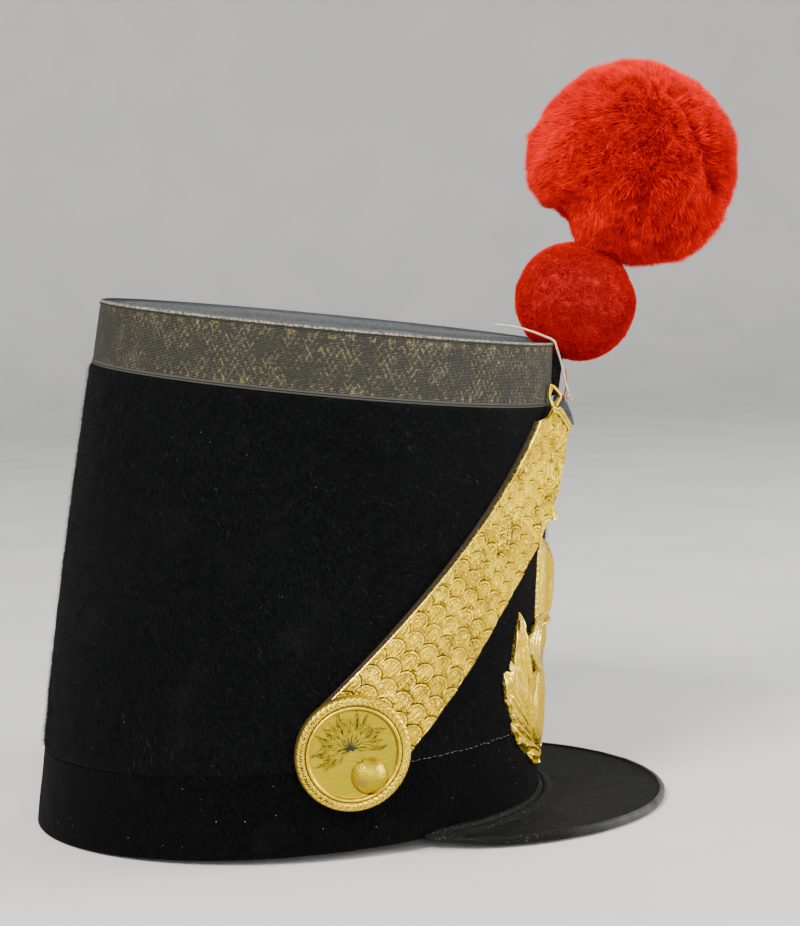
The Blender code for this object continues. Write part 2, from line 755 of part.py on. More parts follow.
def pompom(name, ball, facets, locks, group, finish):
    """A ball of wool whose surface rises at each lock."""
    forward, height, radius = ball
    bm = bmesh.new()
    bmesh.ops.create_uvsphere(bm, u_segments=facets[0], v_segments=facets[1], radius=1.0)
    directions = lock_directions(locks)
    spread = math.sqrt(4 * math.pi / locks)
    for v in bm.verts:
        nearest = max(v.co.dot(direction) for direction in directions)
        away = math.acos(min(nearest, 1.0)) / spread
        v.co *= radius * (1 - LOCK_DEPTH * min(away * 1.6, 1.0) ** 2)
    bmesh.ops.translate(bm, vec=at(0, forward, height), verts=bm.verts)
    return smooth(add_object(name, mesh_from(bm, name), finish, group), 60)


def ball_cutter(name, ball, group):
    forward, height, radius = ball
    bm = bmesh.new()
    bmesh.ops.create_uvsphere(bm, u_segments=32, v_segments=20, radius=radius + 2 * GAP)
    bmesh.ops.translate(bm, vec=at(0, forward, height), verts=bm.verts)
    return as_cutter(add_object(name, mesh_from(bm, name), None, group))


def hat_cutter(group):
    """The top of the hat, grown by a gap, that the small pompom is pressed against."""
    grown = 2 * GAP
    rows = [ring(level(140), grown, 96), ring(lambda a: rim_height(a) + grown, grown, 96)]
    mesh = loft("hat_top", rows, caps=True)
    return as_cutter(add_object("hat_top", mesh, None, group))


def holder_sections(grown):
    """Sections of the holder, from foot to top, grown on every side by a gap."""
    sections = []
    for i, height in enumerate(HOLDER_LEVELS):
        if grown:
            height += (-grown, 0, grown)[i]
        reach = HOLDER_HALF_WIDTH[i] + grown
        turn = math.degrees(reach / (BASE_LENGTH / 2))
        angles = [turn * k / 2 for k in (-2, -1, 0, 1, 2)]
        inner = [wall_point(a, height, GAP - grown) for a in angles]
        outer = [wall_point(a, height, GAP + HOLDER_THICKNESS[i] + grown) for a in angles]
        sections.append(inner + outer[::-1])
    return sections


def pompom_holder(group, finish):
    mesh = loft("pompom_holder", holder_sections(0), caps=True)
    return add_object("pompom_holder", mesh, finish, group)


def wire_route(extra):
    """From the holder's top through both pompoms, longer at both ends by an extra length."""
    height = HOLDER_LEVELS[-1]
    slant = WIRE_DIAMETER / 4     # its end is square to it, so the low side of the end is lower
    foot = wall_point(0, height, GAP + HOLDER_THICKNESS[-1] / 2) + at(0, 0, GAP + slant)
    small = at(0, SMALL_POMPOM[0], SMALL_POMPOM[1])
    large = at(0, LARGE_POMPOM[0], LARGE_POMPOM[1])
    foot += (foot - small).normalized() * extra
    return [foot, small, large + (large - small).normalized() * extra]


def pompoms(group, cutters, wool, black):
    """The two pompoms on their wire, each cut to what it is pressed against."""
    wire("pompom_wire", wire_route(0), WIRE_DIAMETER, group, black)
    grown_wire = wire("wire_hole", wire_route(GAP), WIRE_DIAMETER + 2 * GAP, cutters, None)
    hole = as_cutter(baked(grown_wire, None))
    grown_holder = loft("holder_space", holder_sections(GAP), caps=True)
    space = as_cutter(add_object("holder_space", grown_holder, None, cutters))
    small = pompom("pompom_small", SMALL_POMPOM, SMALL_FACETS, SMALL_LOCKS, group, wool)
    for tool in (hat_cutter(cutters), space, hole):
        combine(small, tool, "DIFFERENCE")
    large = pompom("pompom_large", LARGE_POMPOM, LARGE_FACETS, LARGE_LOCKS, group, wool)
    for tool in (ball_cutter("small_space", SMALL_POMPOM, cutters), hole):
        combine(large, tool, "DIFFERENCE")


# ---- the whole hat -------------------------------------------------------------------

def rest(items, cutters):
    """Tips the hat onto its peak and the back of its base, centred over the origin."""
    edge_in = PEAK_BEAD[-2][0]
    tip = PEAK_CENTRE + PEAK_HALF_LENGTH - edge_in
    tip_drop = PEAK_THICKNESS - peak_plane(tip)
    tilt = math.atan2(tip_drop, tip + BASE_LENGTH / 2)
    seat = bpy.data.objects.new("rest", None)
    bpy.context.scene.collection.objects.link(seat)
    seat.rotation_euler.x = -tilt
    bpy.context.view_layer.update()
    turn = seat.matrix_world.copy()
    depsgraph = bpy.context.evaluated_depsgraph_get()
    corners = []
    for item in items:
        if item.name in CORD_PIECES:
            continue
        shape = item.evaluated_get(depsgraph)
        mesh = shape.to_mesh()
        place = turn @ item.matrix_world
        corners += [place @ v.co for v in mesh.vertices]
        shape.to_mesh_clear()
    low = [min(c[k] for c in corners) for k in range(3)]
    high = [max(c[k] for c in corners) for k in range(3)]
    seat.location = (-(low[0] + high[0]) / 2, -(low[1] + high[1]) / 2, -low[2])
    for item in items + cutters:
        item.parent = seat


CORD_PIECES = ("tie_string", "string_knot")


def main():
    empty_scene()
    hat = collection("shako_hat")
    cutters = collection("cutters")
    felt = material("black_felt", (0.012, 0.012, 0.014), 0.85)
    top_felt = material("worn_felt", (0.09, 0.11, 0.14), 0.9)
    lace = material("gold_lace", (0.14, 0.12, 0.08), 0.7)
    velvet = material("black_velvet", (0.006, 0.006, 0.008), 0.9)
    leather = material("black_leather", (0.012, 0.012, 0.013), 0.4)
    lining = material("brown_leather", (0.10, 0.07, 0.05), 0.7)
    gilt = material("gilt_brass", (0.80, 0.58, 0.20), 0.35, 1.0)
    wool = material("red_wool", (0.65, 0.03, 0.02), 0.95)
    cotton = material("cream_string", (0.65, 0.55, 0.42), 0.8)

    under_base = base_cutter(cutters)
    felt_body(hat, under_base, felt)
    crown_top(hat, top_felt)
    band("lace_band", drop(LACE_WIDTH), drop(0), hat, lace)
    velvet_band = band("velvet_band", level(-BASE_TRIM), level(VELVET_WIDTH), hat, velvet)
    combine(velvet_band, under_base, "DIFFERENCE")
    peak(hat, leather)
    for side in (RIGHT, LEFT):
        strap_lining(side, hat, lining)
        chin_scales(side, hat, gilt)
        strap_tip(side, hat, gilt)
        rosette(side, hat, cutters, gilt)
        hook_ring(side, hat, gilt)
    front_plate(hat, cutters, gilt)
    cockade_loop(hat, gilt)
    loop_button(hat, gilt)
    hook_tab(hat, leather)
    pompom_holder(hat, leather)
    pompoms(hat, cutters, wool, leather)
    tie_string(hat, cotton)
    string_knot(hat, cotton)
    rest(list(hat.objects), list(cutters.objects))


main()
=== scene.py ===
import math

import bpy
import numpy as np
from bpy.props import FloatProperty, FloatVectorProperty, IntProperty
from bpy.types import Operator, Panel, PropertyGroup
from mathutils import Matrix, Vector


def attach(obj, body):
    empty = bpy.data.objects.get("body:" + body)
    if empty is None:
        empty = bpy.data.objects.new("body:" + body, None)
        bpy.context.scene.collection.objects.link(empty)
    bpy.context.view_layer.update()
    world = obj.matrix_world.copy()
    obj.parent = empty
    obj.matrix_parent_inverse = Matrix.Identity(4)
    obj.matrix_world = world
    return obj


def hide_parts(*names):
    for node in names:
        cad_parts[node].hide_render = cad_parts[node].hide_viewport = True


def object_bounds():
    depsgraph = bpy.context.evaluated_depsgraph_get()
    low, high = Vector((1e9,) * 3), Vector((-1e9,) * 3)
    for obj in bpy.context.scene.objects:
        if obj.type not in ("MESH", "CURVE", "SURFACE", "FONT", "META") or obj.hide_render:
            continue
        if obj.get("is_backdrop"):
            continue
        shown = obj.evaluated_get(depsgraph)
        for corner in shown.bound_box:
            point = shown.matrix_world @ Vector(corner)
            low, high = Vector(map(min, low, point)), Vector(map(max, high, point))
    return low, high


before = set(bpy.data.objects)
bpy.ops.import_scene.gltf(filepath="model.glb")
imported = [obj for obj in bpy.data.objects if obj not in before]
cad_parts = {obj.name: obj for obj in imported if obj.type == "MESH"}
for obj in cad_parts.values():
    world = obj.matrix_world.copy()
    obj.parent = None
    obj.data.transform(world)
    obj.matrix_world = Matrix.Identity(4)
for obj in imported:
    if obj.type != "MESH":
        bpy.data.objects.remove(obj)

bl_info = {
    "name": "Shako Hat",
    "version": (1, 0, 0),
    "blender": (4, 5, 0),
    "location": "3D View > Sidebar > Shako",
    "description": "Finishes the shako's cloth, leather, gilt and wool over its packed frame",
    "category": "Object",
}

CAD_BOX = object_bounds()
MM = 0.001
HOLLOW_GAIN = 4                       # how strongly a hollow takes dirt
LEFT, RIGHT = 1, -1
SIDES = {LEFT: "left", RIGHT: "right"}

# The hat is shaped level, in millimetres, and then seated on its peak and the back of its base.
SEAT_TILT = -0.0307821
SEAT_PLACE = (0.0, 44.229, 3.2316)

# The camera, in metres: its place and the directions of its picture.
CAMERA_PLACE = (-0.8239, 0.00713, 0.22478)
PICTURE_RIGHT = Vector((-0.0213, -0.99922, -0.03416)).normalized()
PICTURE_UP = Vector((0.0986, -0.03611, 0.99448)).normalized()
CAMERA_LENS = 77.33

# The tie string, as (left, forward, height) from its knot to its free end.
STRING_ROUTE = [
    (-3.9, 127.3, 162.9),
    (-6.6, 126.0, 168.0),
    (-11.5, 124.5, 175.0),
    (-16.0, 122.6, 181.5),
    (-18.0, 121.3, 185.0),
    (-17.6, 117.4, 187.2),
    (-15.0, 112.0, 189.6),
    (-12.0, 106.0, 191.6),
    (-10.0, 98.9, 192.8),
]
KNOT_CENTRE = (-3.7, 127.5, 161.3)


# ---- sizes and colours --------

def length(name, text, default):
    return FloatProperty(name=name, description=text, default=default, min=0.0, unit="LENGTH")


def colour(name, text, default):
    return FloatVectorProperty(name=name, description=text, default=default, size=3, min=0.0,
                               max=1.0, subtype="COLOR")


class ShakoSizes(PropertyGroup):
    base_length: length("Base length", "Outer length of the base, front to back", 0.210)
    base_width: length("Base width", "Outer width of the base", 0.181)
    rim_front: length("Front height", "Height of the crown's front edge", 0.1836)
    lace_width: length("Lace width", "Width of the lace round the crown", 0.0248)
    velvet_width: length("Velvet width", "Width of the velvet round the base", 0.032)
    nap_length: length("Nap length", "Length of the fibres of the plush", 0.0030)
    nap_count: IntProperty(name="Nap fibres", description="Number of fibres on the plush",
                           default=140000, min=100)
    rosette_radius: length("Rosette radius", "Outer radius of each rosette", 0.0223)
    scale_rows: IntProperty(name="Scale rows", description="Rows of scales on each half strap",
                            default=24, min=4)
    wool_width: length("Wool width", "Width of a fibre of the pompoms", 0.00024)
    wool_count: IntProperty(name="Wool fibres", description="Fibres in each layer of wool",
                            default=56000, min=100)


class ShakoColours(PropertyGroup):
    plush: colour("Plush", "Black plush of the body", (0.0014, 0.0015, 0.0017))
    velvet: colour("Velvet", "Velvet round the base", (0.0009, 0.0009, 0.0010))
    crown: colour("Crown felt", "Worn felt on top", (0.017, 0.022, 0.026))
    lace: colour("Lace ground", "Dark ground of the lace", (0.0245, 0.0240, 0.0190))
    lace_thread: colour("Lace thread", "Gold thread of the lace", (0.400, 0.325, 0.105))
    leather: colour("Leather", "Waxed leather of the peak", (0.0036, 0.0040, 0.0039))
    lining: colour("Lining", "Raw leather behind the scales", (0.026, 0.018, 0.013))
    gilt: colour("Gilt", "Gilt brass", (0.950, 0.650, 0.012))
    wool: colour("Wool", "Red wool of the pompoms", (0.860, 0.0035, 0.0030))
    string: colour("String", "Cotton tie string", (0.740, 0.650, 0.480))


def sizes():
    return bpy.context.scene.shako_sizes


def colours():
    return bpy.context.scene.shako_colours


# ---- shader maths --------

def maths(operation, swapped=False):
    """An operator that adds a Math node for a value and another one."""
    def act(self, other):
        pair = (other, self) if swapped else (self, other)
        return self.recipe.math(operation, *pair)
    return act


class Value:
    """A number or colour in a material, which Python's operators build upon."""

    def __init__(self, recipe, socket):
        self.recipe = recipe
        self.socket = socket

    __add__ = __radd__ = maths("ADD")
    __mul__ = __rmul__ = maths("MULTIPLY")
    __sub__, __rsub__ = maths("SUBTRACT"), maths("SUBTRACT", True)
    __truediv__ = maths("DIVIDE")
    __gt__, __lt__ = maths("GREATER_THAN"), maths("LESS_THAN")

    def __abs__(self):
        return self.recipe.math("ABSOLUTE", self)

    def fract(self):
        return self.recipe.math("FRACT", self)

    def wave(self):
        """From 0 up to 1 and back in each unit."""
        return self.recipe.math("PINGPONG", self.fract(), 0.5) * 2.0

    def rise(self, low, high):
        """0 below low, 1 above high, and smooth between them."""
        return self.recipe.read("ShaderNodeMapRange", 0, {"interpolation_type": "SMOOTHSTEP"},
                                {"Value": self, "From Min": low, "From Max": high})

    def fall(self, low, high):
        """1 below low, 0 above high, and smooth between them."""
        return 1.0 - self.rise(low, high)

    def within(self, start, full, less, end):
        """Rises from 0 at start to 1 at full, and falls from 1 at less to 0 at end."""
        return self.rise(start, full) * self.fall(less, end)


class Recipe:
    """A material under construction."""

    def __init__(self, name):
        self.material = bpy.data.materials.new(name)
        self.material.use_nodes = True
        self.tree = self.material.node_tree
        self.shader = self.tree.nodes["Principled BSDF"]
        self.place = self.read("ShaderNodeTexCoord", "Object")
        self.cut = self.read("ShaderNodeTexCoord", "UV")

    def node(self, kind, settings=None, sockets=None):
        """Adds a node, makes its settings, and then fills or links its sockets."""
        node = self.tree.nodes.new(kind)
        for name, value in (settings or {}).items():
            setattr(node, name, value)
        for name, value in (sockets or {}).items():
            self.fill(node.inputs[name], value)
        return node

    def fill(self, socket, value):
        if isinstance(value, Value):
            self.tree.links.new(value.socket, socket)
        elif socket.type == "RGBA" and len(value) == 3:
            socket.default_value = (*value, 1.0)
        else:
            socket.default_value = value

    def read(self, kind, output, settings=None, sockets=None):
        return Value(self, self.node(kind, settings, sockets).outputs[output])

    def math(self, operation, *values):
        return self.read("ShaderNodeMath", 0, {"operation": operation},
                         dict(enumerate(values)))

    def larger(self, first, second):
        return self.math("MAXIMUM", first, second)

    def reach(self, u, v):
        """How far (u, v) lies from (0, 0)."""
        return self.math("SQRT", u * u + v * v)

    def mix(self, share, first, second):
        return self.read("ShaderNodeMix", 2, {"data_type": "RGBA"},
                         {0: share, 6: first, 7: second})

    def parts(self, vector):
        node = self.node("ShaderNodeSeparateXYZ", None, {0: vector})
        return [Value(self, output) for output in node.outputs]

    def cut_in_mm(self):
        u, v, _ = self.parts(self.cut)
        return u * 1000.0, v * 1000.0

    def noise(self, scale, detail=2.0, roughness=0.5, distortion=0.0, stretch=None, over=None):
        """Noise over the piece, or over another vector, which may be stretched."""
        vector = over or self.place
        if stretch:
            vector = self.read("ShaderNodeMapping", 0, None,
                               {"Vector": vector, "Scale": stretch})
        return self.read("ShaderNodeTexNoise", "Fac", None,
                         {"Vector": vector, "Scale": scale, "Detail": detail,
                          "Roughness": roughness, "Distortion": distortion})

    def cells(self, scale, feature="F1"):
        return self.read("ShaderNodeTexVoronoi", "Distance", {"feature": feature},
                         {"Vector": self.place, "Scale": scale})

    def attribute(self, name):
        return self.read("ShaderNodeAttribute", "Fac", {"attribute_name": name})

    def bump(self, height, distance, strength):
        return self.read("ShaderNodeBump", 0, None,
                         {"Height": height, "Distance": distance, "Strength": strength})

    def surface(self, **sockets):
        for name, value in sockets.items():
            self.fill(self.shader.inputs[name.replace("_", " ")], value)
        return self.material


def toned(tone, factor, more=0.0):
    """A colour times a factor, or times one for each channel, and then raised."""
    return tuple(np.minimum(np.multiply(tone, factor) + more, 1.0).tolist())


# ---- the hat's form --------

class Block:
    """The form that the hat is stretched on: level ovals that lean forward, under a sloping
    rim. Angles are in degrees from the front, left is +, and the rest is in millimetres."""

    lean = 0.1481
    bow = 1.4
    bow_height = 190.0
    length_taper = 0.0528
    width_flare = 0.0176
    rim_forward = 122.5
    rim_slope = 0.162

    def __init__(self, hat):
        self.half_length = hat.base_length / MM / 2
        self.half_width = hat.base_width / MM / 2
        self.rim_front = hat.rim_front / MM

    def centre(self, height):
        return self.lean * height - self.bow * np.sin(np.pi * height / self.bow_height)

    def reach(self, angle, height, out=0.0):
        a = self.half_length - self.length_taper * height + out
        b = self.half_width + self.width_flare * height + out
        turn = np.radians(angle)
        return a * b / np.hypot(b * np.cos(turn), a * np.sin(turn))

    def point(self, angle, height, out=0.0):
        angle, height, out = np.broadcast_arrays(
            np.asarray(angle, float), np.asarray(height, float), np.asarray(out, float))
        reach = self.reach(angle, height, out)
        turn = np.radians(angle)
        return np.stack([reach * np.sin(turn),
                         -self.centre(height) - reach * np.cos(turn), height], -1)

    def rim(self, angle, out=0.0):
        height = np.full(np.shape(angle), self.rim_front, float)
        for _ in range(8):
            forward = -self.point(angle, height, out)[..., 1]
            height = self.rim_front + self.rim_slope * (self.rim_forward - forward)
        return height

    def directions(self, angle, height):
        """Unit vectors around the wall, up it and out of it."""
        around = unit(self.point(angle + 0.5, height) - self.point(angle - 0.5, height))
        up = unit(self.point(angle, height + 0.5) - self.point(angle, height - 0.5))
        out = unit(np.cross(around, up))
        return around, unit(np.cross(out, around)), out

    def seat(self, angle, height, out=0.0):
        """One place on the wall, with the directions there."""
        angle, height = np.array([angle]), np.array([height])
        return self.point(angle, height, out)[0], [
            v[0] for v in self.directions(angle, height)]

    def stand_off(self, points):
        """How far points stand off the wall, negative inside it."""
        height = points[..., 2]
        side, forward = points[..., 0], -points[..., 1] - self.centre(height)
        angle = np.degrees(np.arctan2(side, forward))
        return np.hypot(side, forward) - self.reach(angle, height)


def unit(vectors):
    return vectors / np.maximum(np.linalg.norm(vectors, axis=-1, keepdims=True), 1e-9)


def block():
    return Block(sizes())


def seated(points):
    """Hat points in millimetres, as places in the scene in metres."""
    x, y, z = np.asarray(points, float).reshape(-1, 3).T
    c, s = math.cos(SEAT_TILT), math.sin(SEAT_TILT)
    places = np.stack([x, y * c - z * s, y * s + z * c], -1) + SEAT_PLACE
    return places * MM


def ripple(points, wavelength, seed):
    """A smooth random field from about -1 to 1 over points."""
    rng = np.random.default_rng(seed)
    total = np.zeros(len(points))
    for _ in range(9):
        wave = rng.normal(size=3)
        wave *= 2 * np.pi / wavelength * rng.uniform(0.6, 1.5) / np.linalg.norm(wave)
        total += np.sin(points @ wave + rng.uniform(0, 2 * np.pi))
    return total / 3.0


def smooth_path(route, count):
    """Points on a Catmull-Rom curve through a route."""
    knots = np.asarray(route, float)
    knots = np.vstack([2 * knots[0] - knots[1], knots, 2 * knots[-1] - knots[-2]])
    place = np.linspace(0, len(route) - 1, count)
    k = np.minimum(place.astype(int), len(route) - 2)
    t = (place - k)[:, None]
    a, b, c, d = (knots[k + i] for i in range(4))
    return 0.5 * (2 * b + (c - a) * t + (2 * a - 5 * b + 4 * c - d) * t ** 2
                  + (3 * b - a - 3 * c + d) * t ** 3)


def run_along(path):
    """The length of a path up to each of its points."""
    return np.concatenate([[0], np.cumsum(np.linalg.norm(np.diff(path, axis=0), axis=1))])


def path_length(path):
    return run_along(path)[-1]


def step(value):
    value = np.clip(value, 0.0, 1.0)
    return value * value * (3 - 2 * value)


# ---- modelling --------

def deselect():
    for item in bpy.context.selected_objects:
        item.select_set(False)


def chosen(piece):
    """Selects a piece alone."""
    deselect()
    piece.select_set(True)
    bpy.context.view_layer.objects.active = piece


def added(name):
    """Names the object that an operator has just added."""
    piece = bpy.context.object
    piece.name = name
    piece.data.name = name
    return piece


def linked(name, data):
    """A new object of the scene, at the origin."""
    item = bpy.data.objects.new(name, data)
    bpy.context.scene.collection.objects.link(item)
    return item


def edit(piece, *steps):
    """Runs steps in edit mode, with all of the piece selected at first."""
    chosen(piece)
    bpy.ops.object.mode_set(mode="EDIT")
    bpy.ops.mesh.select_all(action="SELECT")
    for action in steps:
        action()
    bpy.ops.object.mode_set(mode="OBJECT")
    return piece


def on_all(operator, **settings):
    """A step of edit that runs an operator on the whole piece."""
    def act():
        bpy.ops.mesh.select_all(action="SELECT")
        operator(**settings)
    return act


weld = on_all(bpy.ops.mesh.remove_doubles, threshold=0.000004)
close_ends = on_all(bpy.ops.mesh.fill_holes, sides=0)
face_out = on_all(bpy.ops.mesh.normals_make_consistent, inside=False)


def closed(piece):
    return edit(piece, weld, close_ends, face_out)


def cloth(name, columns, rows):
    """A flat cloth, with each point's place on it from 0 to 1, its column and its row."""
    deselect()
    bpy.ops.mesh.primitive_grid_add(x_subdivisions=columns, y_subdivisions=rows, size=1,
                                    location=(0.5, 0.5, 0))
    piece = added(name)
    bpy.ops.object.transform_apply(location=True)
    x, y, _ = points_of(piece).T
    return piece, x, y, np.rint(x * columns).astype(int), np.rint(y * rows).astype(int)


def points_of(piece):
    flat = np.empty(len(piece.data.vertices) * 3)
    piece.data.vertices.foreach_get("co", flat)
    return flat.reshape(-1, 3)


def put(piece, places):
    piece.data.vertices.foreach_set("co", np.asarray(places, np.float32).ravel())
    piece.data.update()
    return piece


def placed(piece, points=None):
    """Takes a piece's points from the hat's own frame, in millimetres, into the scene."""
    return put(piece, seated(points_of(piece) if points is None else points))


def stored(piece, name, values):
    """Gives each point of a piece a number that its material reads."""
    layer = piece.data.attributes.new(name, "FLOAT", "POINT")
    layer.data.foreach_set("value", np.asarray(values, np.float32))
    return piece


def marked(piece, u, v, name="cut"):
    """Gives each point of a piece its place on the cloth, in metres."""
    layer = piece.data.uv_layers.get(name) or (
        piece.data.uv_layers[0] if piece.data.uv_layers else piece.data.uv_layers.new(name=name))
    index = np.empty(len(piece.data.loops), int)
    piece.data.loops.foreach_get("vertex_index", index)
    layer.data.foreach_set("uv", np.stack([u, v], -1)[index].astype(np.float32).ravel())
    return piece


def hollows(piece, rounds):
    """Stores how deep each point lies between its neighbours, for dirt and tarnish."""
    mesh = piece.data
    points = points_of(piece)
    ends = np.empty(len(mesh.edges) * 2, int)
    mesh.edges.foreach_get("vertices", ends)
    a, b = ends.reshape(-1, 2).T
    normals = np.empty(len(points) * 3)
    mesh.vertices.foreach_get("normal", normals)
    count = np.maximum(np.bincount(ends, minlength=len(points)), 1)

    def spread(values):
        total = np.zeros_like(values)
        np.add.at(total, a, values[b])
        np.add.at(total, b, values[a])
        return total / (count if values.ndim == 1 else count[:, None])

    depth = ((spread(points) - points) * normals.reshape(-1, 3)).sum(1) / MM * HOLLOW_GAIN
    for _ in range(rounds):
        depth = 0.5 * depth + 0.5 * spread(depth)
    return stored(piece, "hollow", np.clip(depth, -1, 1))


def joined(name, pieces):
    """Several objects as one piece."""
    deselect()
    for item in pieces:
        item.select_set(True)
    bpy.context.view_layer.objects.active = pieces[0]
    bpy.ops.object.join()
    return added(name)


def repeated(name, pattern, places):
    """One mesh of many copies of a modelled pattern. places gives each copy's points."""
    base = [tuple(face.vertices) for face in pattern.data.polygons]
    count = len(pattern.data.vertices)
    mesh = bpy.data.meshes.new(name)
    mesh.from_pydata(np.vstack(places).tolist(), [], [
        tuple(v + i * count for v in face) for i in range(len(places)) for face in base])
    mesh.update()
    return linked(name, mesh)


def cord_mesh(name, paths, radii, sides=8, caps=True):
    """Round cords along paths in millimetres, as one mesh made from a curve."""
    data = bpy.data.curves.new(name, "CURVE")
    data.dimensions = "3D"
    data.bevel_depth = 1.0
    data.bevel_resolution = sides // 2 - 2
    data.use_fill_caps = caps
    for path, radius in zip(paths, radii):
        spline = data.splines.new("POLY")
        spline.points.add(len(path) - 1)
        spline.points.foreach_set("co", np.column_stack([path, np.ones(len(path))]).ravel())
        spline.points.foreach_set("radius", np.broadcast_to(radius, len(path)).astype(float))
    chosen(linked(name, data))
    bpy.ops.object.convert(target="MESH")
    return added(name)


def spun(name, profile, steps):
    """A turned form, from (radius, height) points in millimetres that run down its outside."""
    deselect()
    bpy.ops.mesh.primitive_circle_add(vertices=3, radius=1)
    piece = added(name)
    piece.data.clear_geometry()
    piece.data.from_pydata([(r, 0, h) for r, h in profile],
                           [(i, i + 1) for i in range(len(profile) - 1)], [])
    spin = on_all(bpy.ops.mesh.spin, steps=steps, angle=2 * math.pi, center=(0, 0, 0),
                  axis=(0, 0, 1))
    merge = on_all(bpy.ops.mesh.remove_doubles, threshold=0.004)
    return edit(piece, spin, merge, face_out)


def fibres(name, roots, middles, tips, width, tone, seed):
    """Tapered fibres, bent at their middles, or straight where middles is None. Their map
    holds a tone and the place along them."""
    rng = np.random.default_rng(seed)
    count = len(roots)
    along = unit(tips - roots)
    across = unit(np.cross(along, rng.normal(size=(count, 3)))) * (width / 2)
    rows = [roots - across * 0.8, roots + across * 0.8, tips]
    faces, place = [(0, 1, 2)], [0, 0, 1.0]
    if middles is not None:
        rows[2:2] = [middles - across, middles + across]
        faces, place = [(0, 1, 3, 2), (2, 3, 4)], [0, 0, 0.5, 0.5, 0.5, 0.5, 1.0]
    points = np.stack(rows, 1).reshape(-1, 3)
    start = np.arange(count)[:, None] * len(rows)
    corners = np.concatenate([start + np.array(face) for face in faces], 1).ravel()
    lengths = np.tile([len(face) for face in faces], count)
    mesh = bpy.data.meshes.new(name)
    mesh.vertices.add(len(points))
    mesh.vertices.foreach_set("co", seated(points).astype(np.float32).ravel())
    mesh.loops.add(len(corners))
    mesh.loops.foreach_set("vertex_index", corners.astype(np.int32))
    mesh.polygons.add(len(lengths))
    mesh.polygons.foreach_set("loop_start", np.concatenate([[0], np.cumsum(lengths)[:-1]])
                              .astype(np.int32))
    mesh.update(calc_edges=True)
    layer = mesh.uv_layers.new(name="fibre")
    layer.data.foreach_set("uv", np.stack([np.repeat(tone, len(place)),
                                           np.tile(place, count)], -1)
                           .astype(np.float32).ravel())
    return linked(name, mesh)


def finish(piece, material, nodes=(), angle=None):
    """Gives a piece its material, its place on the frame and the nodes that it stands for."""
    piece.data.materials.clear()
    piece.data.materials.append(material)
    if angle is not None:
        chosen(piece)
        bpy.ops.object.shade_smooth_by_angle(angle=math.radians(angle))
    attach(piece, "root")
    if nodes:
        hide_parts(*nodes)
    return piece


# ---- stage --------

def stage_material():
    r = Recipe("studio_paper")
    grain = r.noise(9.0, 3.0)
    tone = r.mix(grain.rise(0.35, 0.65), (0.60, 0.60, 0.60), (0.64, 0.64, 0.635))
    return r.surface(Base_Color=tone, Roughness=0.92)


FLOOR_RADIUS = 2.2
# The paper's way up from the floor to the wall, as the growth and lift of each step.
PAPER_STEPS = ((1.14, 0.03), (1.10, 0.12), (1.06, 0.25), (1.02, 0.45), (1.005, 2.2))
ROOM_COLOUR, ROOM_LIGHT = (0.80, 0.83, 0.87, 1), 0.42
# Each light's place, the height over the origin that it faces, its size, watts and colour.
LIGHTS = {
    "key_light": ((-1.15, 0.75, 1.25), 0.13, 0.6, 54.0, (1.0, 0.97, 0.92)),
    "fill_light": ((-1.75, -0.35, 0.75), 0.12, 1.1, 27.0, (1.0, 0.98, 0.95)),
    "front_light": ((-0.15, -1.55, 0.50), 0.15, 0.7, 42.0, (1.0, 0.98, 0.95)),
    "top_light": ((0.7, -0.3, 1.9), 0.15, 1.4, 14.0, (1.0, 1.0, 1.0)),
}


def build_stage():
    """A pale paper floor that curves up into a wall all around, under soft lights."""
    deselect()
    bpy.ops.mesh.primitive_circle_add(vertices=96, radius=FLOOR_RADIUS, fill_type="NGON")
    paper = added("studio_floor")

    def wall():
        bpy.ops.mesh.select_mode(type="EDGE")
        bpy.ops.mesh.region_to_loop()
        for grow, lift in PAPER_STEPS:
            bpy.ops.mesh.extrude_region_move(TRANSFORM_OT_translate={"value": (0, 0, lift)})
            bpy.ops.transform.resize(value=(grow, grow, 1))
        bpy.ops.mesh.select_mode(type="VERT")

    edit(paper, wall)
    bpy.ops.object.shade_smooth()
    paper.data.materials.append(stage_material())
    paper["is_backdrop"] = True

    world = bpy.data.worlds.new("soft_room")
    world.use_nodes = True
    background = world.node_tree.nodes["Background"].inputs
    background["Color"].default_value = ROOM_COLOUR
    background["Strength"].default_value = ROOM_LIGHT
    bpy.context.scene.world = world
    for name, (place, height, size, power, tone) in LIGHTS.items():
        data = bpy.data.lights.new(name, "AREA")
        data.size, data.energy, data.color = size, power, tone
        lamp = linked(name, data)
        lamp.location = place
        aim = Vector((0, 0, height)) - Vector(place)
        lamp.rotation_euler = aim.to_track_quat("-Z", "Y").to_euler()


def build_camera():
    data = bpy.data.cameras.new("camera")
    data.lens = CAMERA_LENS
    data.sensor_width = 36.0
    data.clip_start = 0.01
    camera = linked("camera", data)
    back = PICTURE_RIGHT.cross(PICTURE_UP).normalized()
    turn = Matrix((PICTURE_RIGHT, back.cross(PICTURE_RIGHT), back)).transposed().to_4x4()
    camera.matrix_world = Matrix.Translation(CAMERA_PLACE) @ turn
    bpy.context.scene.camera = camera


# ---- materials --------

